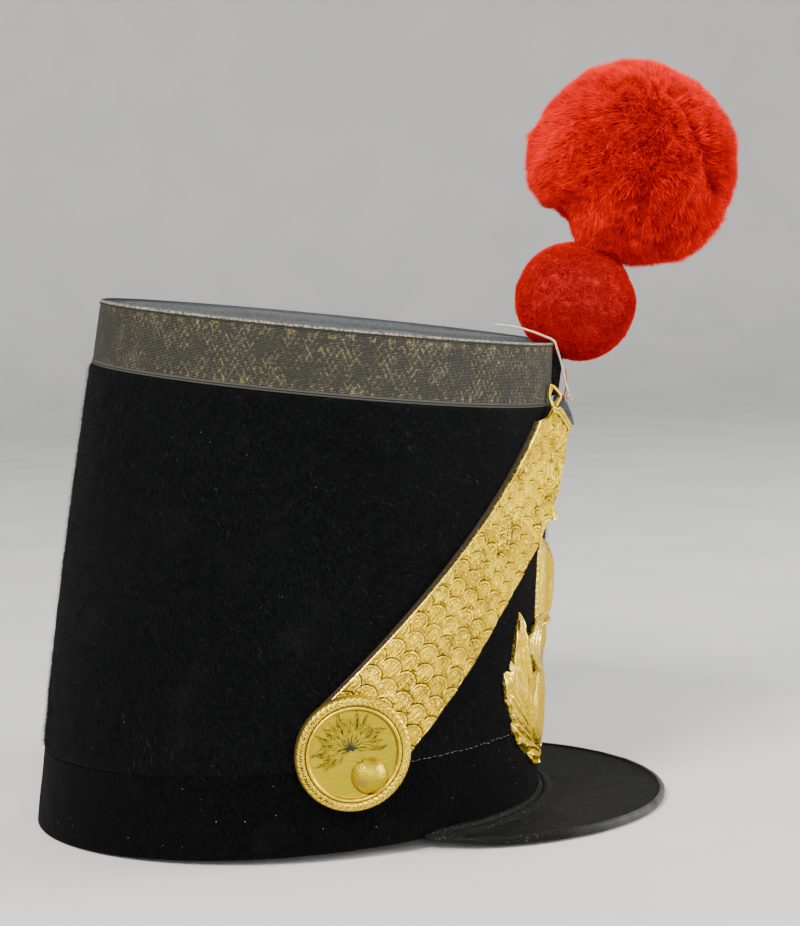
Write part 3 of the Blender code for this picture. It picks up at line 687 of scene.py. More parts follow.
def plush_material(name, tone, specks):
    r = Recipe(name)
    patch = r.noise(45.0, 3.0)
    grain = r.noise(1500.0, 3.0, 0.7, stretch=(1, 1, 0.35))
    light = toned(tone, 2.6, 0.001)
    dust = toned(tone, 0.9, 0.006)
    base = r.mix(grain.rise(0.38, 0.72), tone, light)
    base = r.mix(patch.rise(0.55, 0.8) * 0.35, base, dust)
    fleck = r.cells(420.0) < specks
    rare = r.noise(240.0, 1.0) > 0.60
    base = r.mix(fleck * rare * 0.8, base, (0.30, 0.30, 0.29))
    height = grain + 0.4 * r.noise(500.0, 2.0)
    return r.surface(Base_Color=base, Roughness=0.96, Normal=r.bump(height, 0.0006, 0.7),
                     Sheen_Weight=0.03, Sheen_Roughness=0.4,
                     Sheen_Tint=(0.55, 0.57, 0.60, 1.0), Specular_IOR_Level=0.03)


def nap_material(name, tone):
    r = Recipe(name)
    shade, along, _ = r.parts(r.cut)
    dark = toned(tone, 0.7)
    mid = toned(tone, 4.4, 0.002)
    base = r.mix(shade.rise(0.1, 1.0) * (0.3 + 0.7 * along), dark, mid)
    base = r.mix((shade > 0.975) * along, base, (0.075, 0.075, 0.074))
    return r.surface(Base_Color=base, Roughness=0.7, Specular_IOR_Level=0.07)


# the tint of brass seen edge-on
GILT_EDGE = (1.0, 0.80, 0.38, 1.0)
AGED_AND_SHADED = (0.30, 0.18, 0.004)            # gilding that age has toned down, and a darker copy of the gilt that is painted shade
GRIME_AND_SHADE = (0.035, 0.020, 0.004)         # what lies in its hollows, and painted shade in flutes and beyond the scales' ends


def gilt_tones(r):
    """The gilding's colours, its mottling and its fine pits."""
    bright = colours().gilt
    blotch = r.noise(90.0, 4.0, 0.6)
    mottle = r.noise(520.0, 4.0, 0.65)
    pits = r.noise(1700.0, 3.0, 0.6)
    deep = toned(bright, (0.66, 0.62, 0.40))
    pale = toned(bright, (1.05, 1.14, 2.4))
    tone = r.mix(blotch.rise(0.35, 0.68), bright, pale)
    tone = r.mix(mottle.rise(0.50, 0.72) * 0.6, tone, deep)
    return tone, mottle, pits


def gilded(r, tone, metal, rough, bump):
    return r.surface(Base_Color=tone, Metallic=metal, Roughness=rough,
                     Specular_Tint=GILT_EDGE, Normal=bump)


def gilt_material(name, wear=1.0, painted_shade=0.0):
    """Gilt brass: pale in the open, brown in the hollows, with fine scratches and pits, and
    darker in the flutes of leaves as painted shade. A share of painted shade darkens the whole
    piece."""
    r = Recipe(name)
    tone, mottle, pits = gilt_tones(r)
    # painted shade: a darker copy of the gilt, by the share given
    tone = r.mix(painted_shade, tone, AGED_AND_SHADED)
    hollow = r.attribute("hollow")
    # painted shade in the flutes of the plate's leaves
    groove = r.attribute("groove").rise(0.72, 1.0) * (0.35 + mottle.rise(0.4, 0.6))
    grime_and_shade = (hollow.rise(0.06, 0.32) * 0.85 + pits.rise(0.60, 0.72) * 0.5 * wear
            + mottle.rise(0.64, 0.78) * 0.4 * wear + groove * 0.5).rise(0.0, 1.0)
    ridge = (hollow * -1.0).rise(0.03, 0.25)
    tone = r.mix(grime_and_shade, tone, GRIME_AND_SHADE)
    tone = r.mix(ridge * 0.4, tone, (1.0, 0.80, 0.22))
    rough = 0.24 + 0.20 * mottle + 0.35 * grime_and_shade - 0.08 * ridge
    scratch = r.noise(2600.0, 2.0, stretch=(1.0, 0.25, 1.0))
    height = (mottle * 0.8 + scratch * 0.3 - pits.rise(0.58, 0.75) * 0.5
              + r.noise(230.0, 2.0) * 2.0 * wear)
    return gilded(r, tone, 1.0 - 0.7 * grime_and_shade, rough, r.bump(height, 0.0005, 0.8))


def scale_material():
    """Struck scales: a dark line of painted shadow beyond each free end, a painted highlight
    along each lip, painted shade toward the strap's foot, and tarnished strokes.
    """
    r = Recipe("gilt_scales")
    tone, mottle, pits = gilt_tones(r)
    u, v, _ = r.parts(r.cut)

    # how deep a place lies in its own round end, and under the ends of the row before
    across = (u + 0.5).fract() - 0.5
    own = r.larger(0.5 - r.reach(across, v + 0.5), (v + 0.5) * -1.0)
    shade = r.reach(0.5 - abs(across), v + r.attribute("lap") + 0.5) - 0.5
    # painted shadow that the row before casts beyond its ends, a dark line and a softer band,
    # and a painted highlight along each scale's own lip
    line, soft = shade.fall(0.0, 0.085), shade.fall(0.0, 0.30)
    lip = own.fall(0.01, 0.075)
    inner = own.within(0.085, 0.115, 0.13, 0.165)

    streak = r.noise(1.0, 3.0, 0.6, stretch=(9.0, 1.4, 1.0), over=r.cut)
    dark_marks = r.noise(900.0, 3.0, 0.7, stretch=(1.0, 1.0, 0.6))
    wear = r.noise(62.0, 3.0)
    scrawl = abs(r.noise(430.0, 2.0, 0.5, 1.2, stretch=(1, 1, 0.7)) - 0.5).fall(0.005, 0.030)
    tarnish = r.noise(105.0, 2.0).rise(0.47, 0.58)
    marks = (dark_marks.rise(0.55, 0.60) * (0.15 + 0.85 * soft.rise(0.1, 0.8)) * wear.rise(0.38, 0.52)
             + scrawl * tarnish).rise(0.0, 1.0)
    keep = 0.45 + 0.55 * wear.rise(0.30, 0.52)
    grime_and_shade = (line * keep + inner * 0.35 * keep + marks * 0.85 + streak.rise(0.62, 0.70) * 0.30
            + pits.rise(0.62, 0.72) * 0.35).rise(0.05, 1.0)

    deep = toned(colours().gilt, (0.62, 0.58, 0.42))
    face = own.rise(0.08, 0.14) * r.noise(130.0, 2.0).rise(0.35, 0.6)
    # darker faces, and the softer band of painted shadow
    tone = r.mix((face * 0.70 + soft * 0.35).rise(0.0, 1.0), tone, deep)
    # painted shade: the strap darker toward its foot and lighter higher up
    upper = r.parts(r.place)[2].rise(0.070, 0.165)
    tone = r.mix(0.42 - 0.34 * upper, tone, (0.34, 0.21, 0.004))
    tone = r.mix(lip * 0.12, tone, (1.0, 0.80, 0.26))
    tone = r.mix(grime_and_shade, tone, GRIME_AND_SHADE)
    height = (mottle * 0.9 - line * 0.9 - inner * 0.5 + streak * 2.2 - marks * 0.6
              + r.noise(150.0, 2.0) * 3.0)
    polish = r.noise(75.0, 3.0, 0.6).rise(0.48, 0.66)
    return gilded(r, tone, 1.0 - 0.7 * grime_and_shade,
                  0.21 - 0.09 * polish + 0.16 * mottle + 0.30 * grime_and_shade,
                  r.bump(height, 0.0007, 0.9))


def leather_material(name, tone, edge, worn):
    r = Recipe(name)
    crease = r.cells(950.0, feature="DISTANCE_TO_EDGE")
    grain = r.noise(1800.0, 3.0, 0.6)
    patch = r.noise(55.0, 3.0)
    rim = r.attribute("edge")
    base = r.mix(grain.rise(0.45, 0.75), tone, toned(tone, 2.2, 0.004))
    dust = r.cells(760.0) < 0.20
    base = r.mix(dust * patch.rise(0.25, 0.6) * 0.42, base, (0.11, 0.112, 0.11))
    scuff = r.noise(330.0, 4.0, 0.7, stretch=(1.0, 3.0, 1.0))
    base = r.mix(scuff.rise(0.56, 0.70) * 0.22, base, (0.06, 0.063, 0.061))
    front = (r.parts(r.place)[1] * -1.0).rise(0.060, 0.105)
    rub = (rim * (0.30 + 1.0 * r.noise(95.0, 4.0, 0.7))).rise(0.40, 0.95) * front
    base = r.mix(rub * worn, base, edge)
    height = grain * 0.5 + crease.rise(0.0, 0.12) * 0.5
    return r.surface(Base_Color=base, Roughness=0.50 + 0.20 * patch - 0.22 * rim,
                     Normal=r.bump(height, 0.00022, 0.6), Specular_IOR_Level=0.06)


LACE_LENGTH = 0.5875                  # round the hat, in metres
LACE_STITCH, LACE_ROW = 0.60, 0.56    # a stitch's length and its row's height
LACE_REPEAT = 7.6                     # one zigzag
LACE_DEEP = 6.4                       # how far the zigzag swings


def lace_material():
    """Woven lace: rows of fine stitches that a worn gold zigzag crosses, with corded edges."""
    r = Recipe("gold_lace")
    u, v = r.cut_in_mm()
    row = r.math("FLOOR", v / LACE_ROW)
    stitch = r.reach((u / LACE_STITCH + row * 0.5).fract() - 0.5,
                     (v / LACE_ROW).fract() - 0.5).fall(0.20, 0.46)
    loss = r.noise(110.0, 4.0, 0.65)
    speck = r.noise(900.0, 3.0, 0.7)

    # the gold: two crossing zigzags, spots along the top and feet along the lower edge
    zig = abs((u / LACE_REPEAT).fract() - 0.5) * 2.0
    wave = ((v + zig * LACE_DEEP) / 3.9).wave()
    back = ((v - zig * LACE_DEEP) / 3.9).wave()
    crossing = r.larger(wave.rise(0.62, 0.85), back.rise(0.70, 0.92) * 0.7)
    spots = v.fall(3.0, 4.2) * zig.fall(0.25, 0.55)
    low = ((u / (LACE_REPEAT / 2)).fract() - 0.5) * 2.0
    foot = v.rise(20.9, 21.7) * abs(low).fall(0.2, 0.5)
    gold = r.larger(crossing * loss.rise(0.36, 0.60), spots * loss.rise(0.30, 0.5))
    gold = r.larger(gold, foot * loss.rise(0.35, 0.5))
    field = v.within(1.3, 1.5, 23.0, 23.2)
    gold = gold * (0.15 + 0.85 * stitch) * speck.rise(0.42, 0.64) * field
    behind = abs(u - LACE_LENGTH / MM / 2).rise(10.0, 120.0)
    gold = gold * (0.25 + 0.60 * behind)

    ground = colours().lace
    base = r.mix(stitch * (0.55 + 0.45 * speck.rise(0.35, 0.65)),
                 toned(ground, 0.15), toned(ground, 3.0))
    base = r.mix(loss.rise(0.50, 0.70) * 0.30, base, (0.062, 0.062, 0.056))
    base = r.mix(gold, base, colours().lace_thread)

    # the corded lower edge, dark between its two cords, and the frayed fold along the top
    hem = v.rise(23.2, 23.4)
    ply = ((u * 0.8 + v * 0.9) / 0.9).wave()
    base = r.mix(hem, base, r.mix(ply, (0.020, 0.020, 0.017), (0.085, 0.083, 0.070)))
    base = r.mix(v.within(23.85, 24.0, 24.15, 24.3), base, (0.008, 0.008, 0.007))
    fray = r.noise(1000.0, 4.0, 0.75)
    worn = r.mix(fray.rise(0.42, 0.62), (0.060, 0.060, 0.054), (0.34, 0.315, 0.215))
    base = r.mix(v.fall(0.35, 0.60), base, worn)
    # painted light: the fold's inner side lightened to bluish grey, so that its edge in shade
    # does not show dark
    base = r.mix(v.fall(-1.2, -0.5), base, (0.050, 0.058, 0.064))
    base = r.mix(v.within(0.60, 0.75, 1.1, 1.3) * 0.8, base, (0.014, 0.013, 0.010))
    height = stitch * 0.9 + gold * 0.6 + hem * ply * 0.8
    return r.surface(Base_Color=base, Roughness=0.8 - 0.4 * gold, Metallic=gold * 0.45,
                     Normal=r.bump(height, 0.00025, 0.8), Specular_IOR_Level=0.2)


def crown_material():
    r = Recipe("worn_felt")
    tone = colours().crown
    fuzz = r.noise(1300.0, 4.0, 0.75)
    patch = r.noise(38.0, 4.0, 0.6)
    base = r.mix(fuzz.rise(0.3, 0.7), toned(tone, 0.55), toned(tone, 1.8))
    base = r.mix(patch.rise(0.42, 0.78) * 0.45, base, (0.085, 0.097, 0.104))
    brown = r.noise(26.0, 3.0)
    base = r.mix(brown.rise(0.62, 0.75) * 0.7, base, (0.07, 0.050, 0.032))
    return r.surface(Base_Color=base, Roughness=0.95, Normal=r.bump(fuzz, 0.0006, 0.8),
                     Specular_IOR_Level=0.08, Sheen_Weight=0.11, Sheen_Roughness=0.5)


def wool_material(name, tone, depth):
    """Wool fibres: each has its own tone, which carries painted light, and painted shade darkens
    it toward its root, so that it is lighter at its tip.
    """
    r = Recipe(name)
    shade, along, _ = r.parts(r.cut)
    deep = toned(tone, (0.20, 0.10, 0.2))
    light = toned(tone, (1.18, 2.6, 1.5), (0.03, 0.002, 0.0))
    base = r.mix(shade, toned(tone, (0.60, 0.5, 0.7)), light)
    # painted shade toward the root, as strong as depth
    base = r.mix(along.fall(0.10, 0.85) * depth, base, deep)
    return r.surface(Base_Color=base, Roughness=0.85, Specular_IOR_Level=0.06)


def string_material(name, tone):
    r = Recipe(name)
    fluff = r.noise(2600.0, 3.0, 0.7)
    soil = r.noise(240.0, 3.0)
    base = r.mix(fluff.rise(0.3, 0.7), toned(tone, 0.72), tone)
    base = r.mix(soil.rise(0.5, 0.75) * 0.5, base, toned(tone, 0.45))
    return r.surface(Base_Color=base, Roughness=0.9, Normal=r.bump(fluff, 0.0002, 0.6))


# ---- tie string --------

def hat_points(route):
    return np.array([(left, -forward, height) for left, forward, height in route])


def twisted(name, path, radius, plies, lay, strength):
    """A cord with plies that wind round it, as one closed tube along a path."""
    piece, _, y, i, _ = cloth(name, len(path) - 1, 6 * plies)
    tangent = unit(np.gradient(path, axis=0))
    side = unit(np.cross(tangent, (0.3, 0.2, 1.0)))
    other = np.cross(tangent, side)
    turn = 2 * np.pi * y
    bulge = np.abs(np.cos(plies / 2 * (turn - run_along(path)[i] / lay)))
    reach = (radius * (1 - strength + strength * bulge))[:, None]
    placed(piece, path[i] + reach * (np.cos(turn)[:, None] * side[i]
                                     + np.sin(turn)[:, None] * other[i]))
    return closed(piece)


def build_string():
    """The tie string and the frayed knot that ends it."""
    cotton = string_material("cream_string", colours().string)
    path = smooth_path(hat_points(STRING_ROUTE), 130)
    string = finish(twisted("tie_string_plies", path, 0.46, 3, 0.62, 0.32), cotton,
                    ("tie_string",), 60)
    centre = hat_points([KNOT_CENTRE])[0]
    t = np.linspace(0, 2 * np.pi, 72)
    loop = np.stack([np.sin(t) + 2 * np.sin(2 * t), np.cos(t) - 2 * np.cos(2 * t),
                     -1.6 * np.sin(3 * t)], -1) * 0.36
    loop = loop[:, [0, 2, 1]] * (1.0, 1.0, 1.15) + centre
    knot = cord_mesh("string_knot_turns", [loop], [0.42], 10)
    edit(placed(knot), weld, face_out)
    finish(knot, cotton, ("string_knot",), 60)
    paths = frayed_ends(centre, path)
    fray = cord_mesh("string_fray", paths, [np.array([0.11, 0.09, 0.05])] * len(paths), 4)
    finish(placed(fray), cotton)
    route = seated(path)
    tuple(route[0])
    float(path_length(route))


def frayed_ends(centre, path):
    """Loose threads at the knot and at the string's free end."""
    rng = np.random.default_rng(5)
    paths = []
    for i in range(46):
        start = centre + rng.normal(size=3) * 0.35
        aim = np.array([-0.25, -0.75, 0.15]) if i % 3 else np.array([0.0, -0.15, -1.0])
        aim = unit(aim + rng.normal(size=3) * 0.45)
        reach = rng.uniform(1.4, 3.1)
        bend = rng.normal(size=3) * 0.35
        paths.append(np.array([start, start + aim * reach * 0.5 + bend * 0.4,
                               start + aim * reach + bend]))
    end = path[-1]
    for i in range(16):
        aim = unit(path[-1] - path[-4] + rng.normal(size=3) * 0.10)
        reach = rng.uniform(0.8, 1.9)
        paths.append(np.array([end, end + aim * reach * 0.5, end + aim * reach]))
    return paths


# ---- body, crown and bands --------

def ring_piece(name, columns, section, close_section, waves):
    """A band round the block. section gives (height of a ring of angles, out) for each row."""
    form = block()
    rows = len(section) if close_section else len(section) - 1
    piece, x, _, _, row = cloth(name, columns, rows)
    angle, row = 360.0 * x, row % len(section)
    height, out = np.zeros(len(x)), np.zeros(len(x))
    for i, (level, offset) in enumerate(section):
        ring = row == i
        height[ring] = level(angle[ring])
        out[ring] = offset
    points = form.point(angle, height, out)
    placed(piece, form.point(angle, height, out + waves(points, row)))
    return piece, angle, height, row


def at_height(height):
    return lambda angle: np.full(len(angle), float(height))


def below_rim(drop):
    return lambda angle: block().rim(angle) - drop


def part_way(low, high, share):
    return lambda angle: low(angle) * (1 - share) + high(angle) * share


NAP_RISE, NAP_WIDTH = 0.30, 0.14      # how far the fibres stand up, and their width
FUZZ_COUNT, FUZZ_WIDTH = 24000, 0.11
FELT_LENGTH = VELVET_LENGTH = 0.6     # round the hat, in metres


def build_body():
    """The felt body, hollow inside."""
    hat = sizes()
    velvet, lace = hat.velvet_width / MM, hat.lace_width / MM
    inner_low, inner_high = at_height(0.0), below_rim(5.9)
    section = [(part_way(inner_high, inner_low, i / 14), -4.3) for i in range(15)]
    section += [(at_height(height), out) for height, out in (
        (0.0, -3.0), (0.0, -1.3), (velvet + 0.1, -1.3), (velvet + 0.3, 0.1),
        (velvet + 0.9, 0.55), (velvet + 2.0, 0.7))]
    low, high = at_height(velvet + 2.0), below_rim(lace + 2.0)
    section += [(part_way(low, high, i / 44), 0.7) for i in range(1, 45)]
    section += [(below_rim(drop), out) for drop, out in (
        (lace + 0.9, 0.55), (lace + 0.35, 0.1), (lace + 0.2, -1.3), (2.9, -1.3))]

    def waves(points, row):
        nap = (row > 19) & (row < len(section) - 3)
        return np.where(nap, 0.22 * ripple(points, 60, 3) + 0.12 * ripple(points, 11, 4), 0)

    shell, angle, height, row = ring_piece("felt_shell", 240, section, False, waves)
    marked(shell, angle / 360 * FELT_LENGTH, height * MM)
    plush = plush_material("black_plush", colours().plush, 0.055)
    finish(closed(shell), plush, ("felt_body",), 50)


def build_nap():
    """The long fibres of the plush, which lie in swirls between the bands."""
    hat, form = sizes(), block()
    rng = np.random.default_rng(11)
    count = hat.nap_count
    angle = rng.uniform(0, 360, count)
    share = rng.uniform(0, 1, count)
    bottom = hat.velvet_width / MM + 0.4
    top = form.rim(angle) - hat.lace_width / MM - 0.4
    height = bottom + (top - bottom) * share
    around, up, out = form.directions(angle, height)
    roots = form.point(angle, height, 0.45)
    swirl = 0.55 + ripple(roots, 46, 21) * 0.55 + ripple(roots, 12, 22) * 0.30
    lay = unit(-np.sin(swirl)[:, None] * up + np.cos(swirl)[:, None] * around
               + NAP_RISE * out + rng.normal(size=(count, 3)) * 0.24)
    lay *= (hat.nap_length / MM * rng.uniform(0.6, 1.45, count))[:, None]
    lift = np.clip(0.25 - form.stand_off(roots + lay), 0, None)[:, None]
    nap = fibres("felt_nap", roots, None, roots + lay + out * (lift + 0.25), NAP_WIDTH,
                 rng.uniform(0, 1, count), 12)
    finish(nap, nap_material("plush_nap", colours().plush))


def build_crown():
    """The worn felt top, a little dished inside the lace."""
    form = block()
    piece, x, _, _, row = cloth("crown_felt", 240, 30)
    angle = 360.0 * x
    edge = form.point(angle, form.rim(angle, -1.3) - 0.45, -1.3)
    centre = edge.mean(0)
    share = np.where(row < 2, 1.0, 1 - (np.clip(row - 2, 0, 28) / 28) ** 0.8)
    points = centre + (edge - centre) * share[:, None]
    dish = 0.9 * (1 - share ** 6) - 0.25 * ripple(points, 45, 31) * (share < 0.97)
    points[:, 2] -= np.where(row == 0, 2.0, np.where(row == 1, 0.35, dish * 0.8))
    finish(closed(placed(piece, points)), crown_material(), ("crown_top",), 60)
    build_fuzz(form, centre)


def build_fuzz(form, centre):
    """Short fibres on the crown, most of them near its edge."""
    rng = np.random.default_rng(41)
    angle = rng.uniform(0, 360, FUZZ_COUNT)
    share = np.sqrt(rng.uniform(0.0, 1.0, FUZZ_COUNT))
    share = np.where(rng.uniform(size=FUZZ_COUNT) < 0.45,
                     rng.uniform(0.94, 0.995, FUZZ_COUNT), share)
    edge = form.point(angle, form.rim(angle, -1.3) - 0.55, -1.3)
    roots = centre + (edge - centre) * share[:, None]
    roots[:, 2] -= 0.7 * (1 - share ** 6)
    lay = unit(rng.normal(size=(FUZZ_COUNT, 3)) * (0.8, 0.8, 0.35) + (0, 0, 0.45))
    tips = roots + lay * rng.uniform(0.5, 1.5, FUZZ_COUNT)[:, None]
    fuzz = fibres("crown_fuzz", roots, None, tips, FUZZ_WIDTH,
                  rng.uniform(0, 1, FUZZ_COUNT), 42)
    finish(fuzz, fuzz_material())


def fuzz_material():
    r = Recipe("crown_fuzz")
    shade, _, _ = r.parts(r.cut)
    base = r.mix(shade, (0.016, 0.020, 0.025), (0.088, 0.101, 0.110))
    return r.surface(Base_Color=base, Roughness=0.9, Specular_IOR_Level=0.08)


# (height over the lace's lower edge, out) up its corded hem, and (drop below the rim, out)
# up the fold along its top and over it
LACE_HEM = [(0.0, -1.0), (-0.12, -0.3), (0.0, 0.20), (0.22, 0.32), (0.50, 0.22),
            (0.62, 0.0), (0.75, 0.22), (1.00, 0.32), (1.25, 0.20), (1.4, -0.03)]
LACE_FOLD = [(1.85, -0.15), (1.55, 0.05), (1.15, 0.28), (0.55, 0.36), (0.0, 0.25),
             (-0.35, -0.05), (-0.42, -0.5), (-0.2, -0.9), (0.6, -1.0), (12.0, -1.0)]
STITCHES_END = 66.0                   # the stitches' last angle from the front
STITCH_WIDTH = 0.11
STITCH_BOW = np.array([0.13, 0.38, 0.38, 0.13])   # how far it stands off along its way


def build_lace():
    """The lace round the crown, with a corded hem and a fold over the rim."""
    wide = sizes().lace_width / MM
    rows = [(wide - up, out) for up, out in LACE_HEM]
    rows += [(wide - 1.4 - (wide - 3.6) * i / 8, 0.0) for i in range(1, 9)]
    rows += LACE_FOLD

    def waves(points, row):
        outer = (row > 0) & (row < len(rows) - 3)
        edge = (row > len(rows) - 9) & outer
        return (np.where(outer, 0.06 * ripple(points, 26, 51), 0)
                + np.where(edge, 0.10 * ripple(points, 4, 52), 0))

    section = [(below_rim(drop), out) for drop, out in rows]
    lace, angle, _, row = ring_piece("lace_weave", 360, section, True, waves)
    drops = np.array([-2.0 if out < -0.45 and drop < 1.0 else drop for drop, out in rows])
    marked(lace, angle / 360 * LACE_LENGTH, drops[row] * MM)
    finish(edit(lace, weld, face_out), lace_material(), ("lace_band",), 40)


def build_velvet():
    """The velvet round the base."""
    tall = sizes().velvet_width / MM
    rows = [(0.0, -1.0), (0.0, -0.3), (0.25, -0.02), (1.0, 0.1)]
    rows += [(1.0 + (tall - 2.2) * i / 10, 0.1) for i in range(1, 11)]
    rows += [(tall - 0.5, 0.12), (tall - 0.1, 0.0), (tall, -0.4), (tall, -1.0), (16.0, -1.0)]

    def crush(points, row):
        return np.where((row > 2) & (row < len(rows) - 3), 0.10 * ripple(points, 22, 61), 0)

    section = [(at_height(height), out) for height, out in rows]
    velvet, angle, height, _ = ring_piece("velvet_pile", 240, section, True, crush)
    marked(velvet, angle / 360 * VELVET_LENGTH, height * MM)
    pile = plush_material("black_velvet", colours().velvet, 0.075)
    finish(edit(velvet, weld, face_out), pile, ("velvet_band",), 40)


def build_stitches():
    """Uneven hand stitches along the velvet's top, round the front."""
    form = block()
    tall = sizes().velvet_width / MM
    rng = np.random.default_rng(62)
    paths = []
    angle = -STITCHES_END
    while angle < STITCHES_END:
        stride = rng.uniform(1.1, 1.8)
        places = angle + np.linspace(0, 1, 4) * stride * 0.62
        level = tall - 0.55 + rng.normal() * 0.12 + np.linspace(0, rng.normal() * 0.15, 4)
        paths.append(form.point(places, level, STITCH_BOW))
        angle += stride
    stitches = cord_mesh("velvet_stitches", paths, [STITCH_WIDTH] * len(paths), 5)
    finish(placed(stitches), string_material("grey_thread", (0.16, 0.16, 0.15)))


# ---- peak --------

# The outer edge is part of a level oval, which then dips to the front.
PEAK_CENTRE = 74.2
PEAK_HALF_LENGTH = 84.4
PEAK_HALF_WIDTH = 80.4
PEAK_DIP = math.radians(3.0)
PEAK_WALL_ANGLE = 54.5                # where it leaves the wall, from the front
PEAK_EDGE_ANGLE = 102.8               # where it ends on the oval
PEAK_FULL_WIDTH = 9.0                 # where it is narrower, its ridges shrink
# (distance from the wall, height) and (distance from the outer edge, height)
PEAK_FOOT = [(0.0, 1.9), (0.8, 1.95), (1.4, 1.7), (1.85, 0.95), (2.2, 0.4), (2.8, 0.78),
             (3.4, 0.9), (4.1, 0.62), (4.8, 0.1), (5.4, -0.45), (6.0, -0.8), (7.0, -0.85)]
PEAK_BEAD = [(4.0, -0.85), (3.2, -0.8), (2.75, -0.5), (2.3, -0.15), (1.8, -0.02), (1.2, 0.0),
             (0.7, -0.14), (0.3, -0.5), (0.08, -0.9), (0.0, -1.4), (0.05, -2.2),
             (0.25, -2.9), (0.6, -3.45), (1.3, -3.7)]
PEAK_FIELD_ROWS, PEAK_UNDER_ROWS = 10, 5
PEAK_THICKNESS = 3.7


def build_peak():
    """The leather peak: a double ridge at the wall, a plain field and a raised edge."""
    foot, bead = len(PEAK_FOOT), len(PEAK_BEAD)
    outer_rows = foot + PEAK_FIELD_ROWS
    rows = outer_rows + bead + PEAK_UNDER_ROWS
    piece, x, _, _, row = cloth("peak_leather", 150, rows)
    row = row % rows
    share = 2 * x - 1
    share = np.sign(share) * np.abs(share) ** 0.85
    inner = block().point(share * PEAK_WALL_ANGLE, 0.0, 0.3)
    turn = np.radians(share * PEAK_EDGE_ANGLE)
    outer = np.stack([PEAK_HALF_WIDTH * np.sin(turn),
                      -(PEAK_CENTRE + PEAK_HALF_LENGTH * np.cos(turn)),
                      np.zeros(len(x))], -1)
    width = np.linalg.norm(outer - inner, axis=1)
    shrink = np.minimum(1.0, width / PEAK_FULL_WIDTH)
    distance, height, edge = np.zeros((3, len(x)))
    for i in range(rows):
        strip = row == i
        w, k = width[strip], shrink[strip]
        if i < foot:
            d, h = PEAK_FOOT[i]
            distance[strip], height[strip] = d * k, h * k
        elif i < outer_rows:
            t = (i - foot + 1) / (PEAK_FIELD_ROWS + 1)
            start = PEAK_FOOT[-1][0] * k
            distance[strip] = start + (w - PEAK_BEAD[0][0] * k - start) * t
            sag = 4 * t * (1 - t) * np.minimum(w / 60, 1)
            height[strip] = PEAK_FOOT[-1][1] * k - 0.25 * sag
        elif i < outer_rows + bead:
            d, h = PEAK_BEAD[i - outer_rows]
            distance[strip], height[strip] = w - d * k, h
            edge[strip] = step((2.8 - d) / 1.2) * (1.0 if h < 0.1 else 0.4)
        else:
            t = (i - outer_rows - bead + 1) / PEAK_UNDER_ROWS
            distance[strip] = (w - PEAK_BEAD[-1][0] * k) * (1 - t)
            height[strip] = -PEAK_THICKNESS
    place = inner + (outer - inner) * (distance / np.maximum(width, 1e-6))[:, None]
    height = np.where(height < -0.9, -0.9 + (height + 0.9) * (0.1 + 0.9 * step(width / 22)),
                      height)
    wobble = np.where(edge > 0, 0.07 * ripple(place, 14, 71), 0)
    place[:, 2] = (-(-place[:, 1] - PEAK_CENTRE) * math.tan(PEAK_DIP) + height + wobble)
    waxed = leather_material("waxed_leather", colours().leather, (0.110, 0.102, 0.092), 0.60)
    finish(closed(stored(placed(piece, place), "edge", edge)), waxed,
           ("peak",), 35)


# ---- chin scales --------

class Strap:
    """The chin strap's line over the wall, from the rosette up to its tip at the front."""

    start, end = 74.9, 20.2            # angles from the front
    foot, climb, bend = 41.0, 1.64, -0.0054
    wide, narrow, taper = 39.6, 24.8, 0.17
    # its lower edge stands off the wall toward the tip, between these angles
    lift, lift_from, lift_to = 5.3, 40.0, 17.2
    # the cap: its lower and upper edges, at lengths beyond the strap's end
    cap_along = (0.0, 5.6, 10.3, 13.2)
    cap_lower = (-12.35, -12.4, -12.6, -13.5)
    cap_upper = (12.2, 7.2, 5.5, 4.5)

    def __init__(self):
        self.form = block()
        angles = np.linspace(self.start, self.end, 401)
        places = self.form.point(angles, self.height(angles))
        self.angles, self.run = angles, run_along(places)
        self.length = self.run[-1]

    def height(self, angle):
        turn = self.start - angle
        return self.foot + self.climb * turn - self.bend * turn * turn

    def half_width(self, share):
        share = np.clip(share, 0, 1)
        narrowing = self.taper * share + (1 - self.taper) * share ** 2
        return (self.wide + (self.narrow - self.wide) * narrowing) / 2

    def edges(self, run):
        """The lower and upper edges of the strap and then of its cap."""
        half = self.half_width(run / self.length)
        beyond = run - self.length
        lower = np.where(beyond > 0, np.interp(beyond, self.cap_along, self.cap_lower), -half)
        upper = np.where(beyond > 0, np.interp(beyond, self.cap_along, self.cap_upper), half)
        return lower, upper

    def point(self, run, across, out, side):
        """A place on the strap: run along it, across it toward its upper edge, and out."""
        run, across, out = np.broadcast_arrays(np.asarray(run, float),
                                               np.asarray(across, float),
                                               np.asarray(out, float))
        along = run - np.clip(run, 0, self.length)
        angle = np.interp(np.clip(run, 0, self.length), self.run, self.angles)
        height = self.height(angle)
        reach = self.form.reach(angle, height)
        climb = self.climb - 2 * self.bend * (self.start - angle)
        sweep = math.radians(1) * reach
        size = np.hypot(sweep, climb)
        around = -along * sweep / size + across * climb / size
        height = height + along * climb / size + across * sweep / size
        angle = angle + np.degrees(around / reach)
        tilt = np.clip(0.5 - across / self.narrow, 0, 1.2)
        near_tip = step((self.lift_from - angle) / (self.lift_from - self.lift_to))
        lift = self.lift * tilt * near_tip
        return self.form.point(side * angle, height, out + lift)


def band_on_strap(name, strap, side, section, run_from, run_to):
    """A strip along the strap. section lists (share of half width, extra width, out)."""
    piece, x, _, _, row = cloth(name, 120, len(section))
    share, extra, out = np.array(section, float)[row % len(section)].T
    run = run_from + (run_to - run_from) * x
    across = share * strap.half_width(run / strap.length) + extra
    return closed(placed(piece, strap.point(run, across, out, side)))


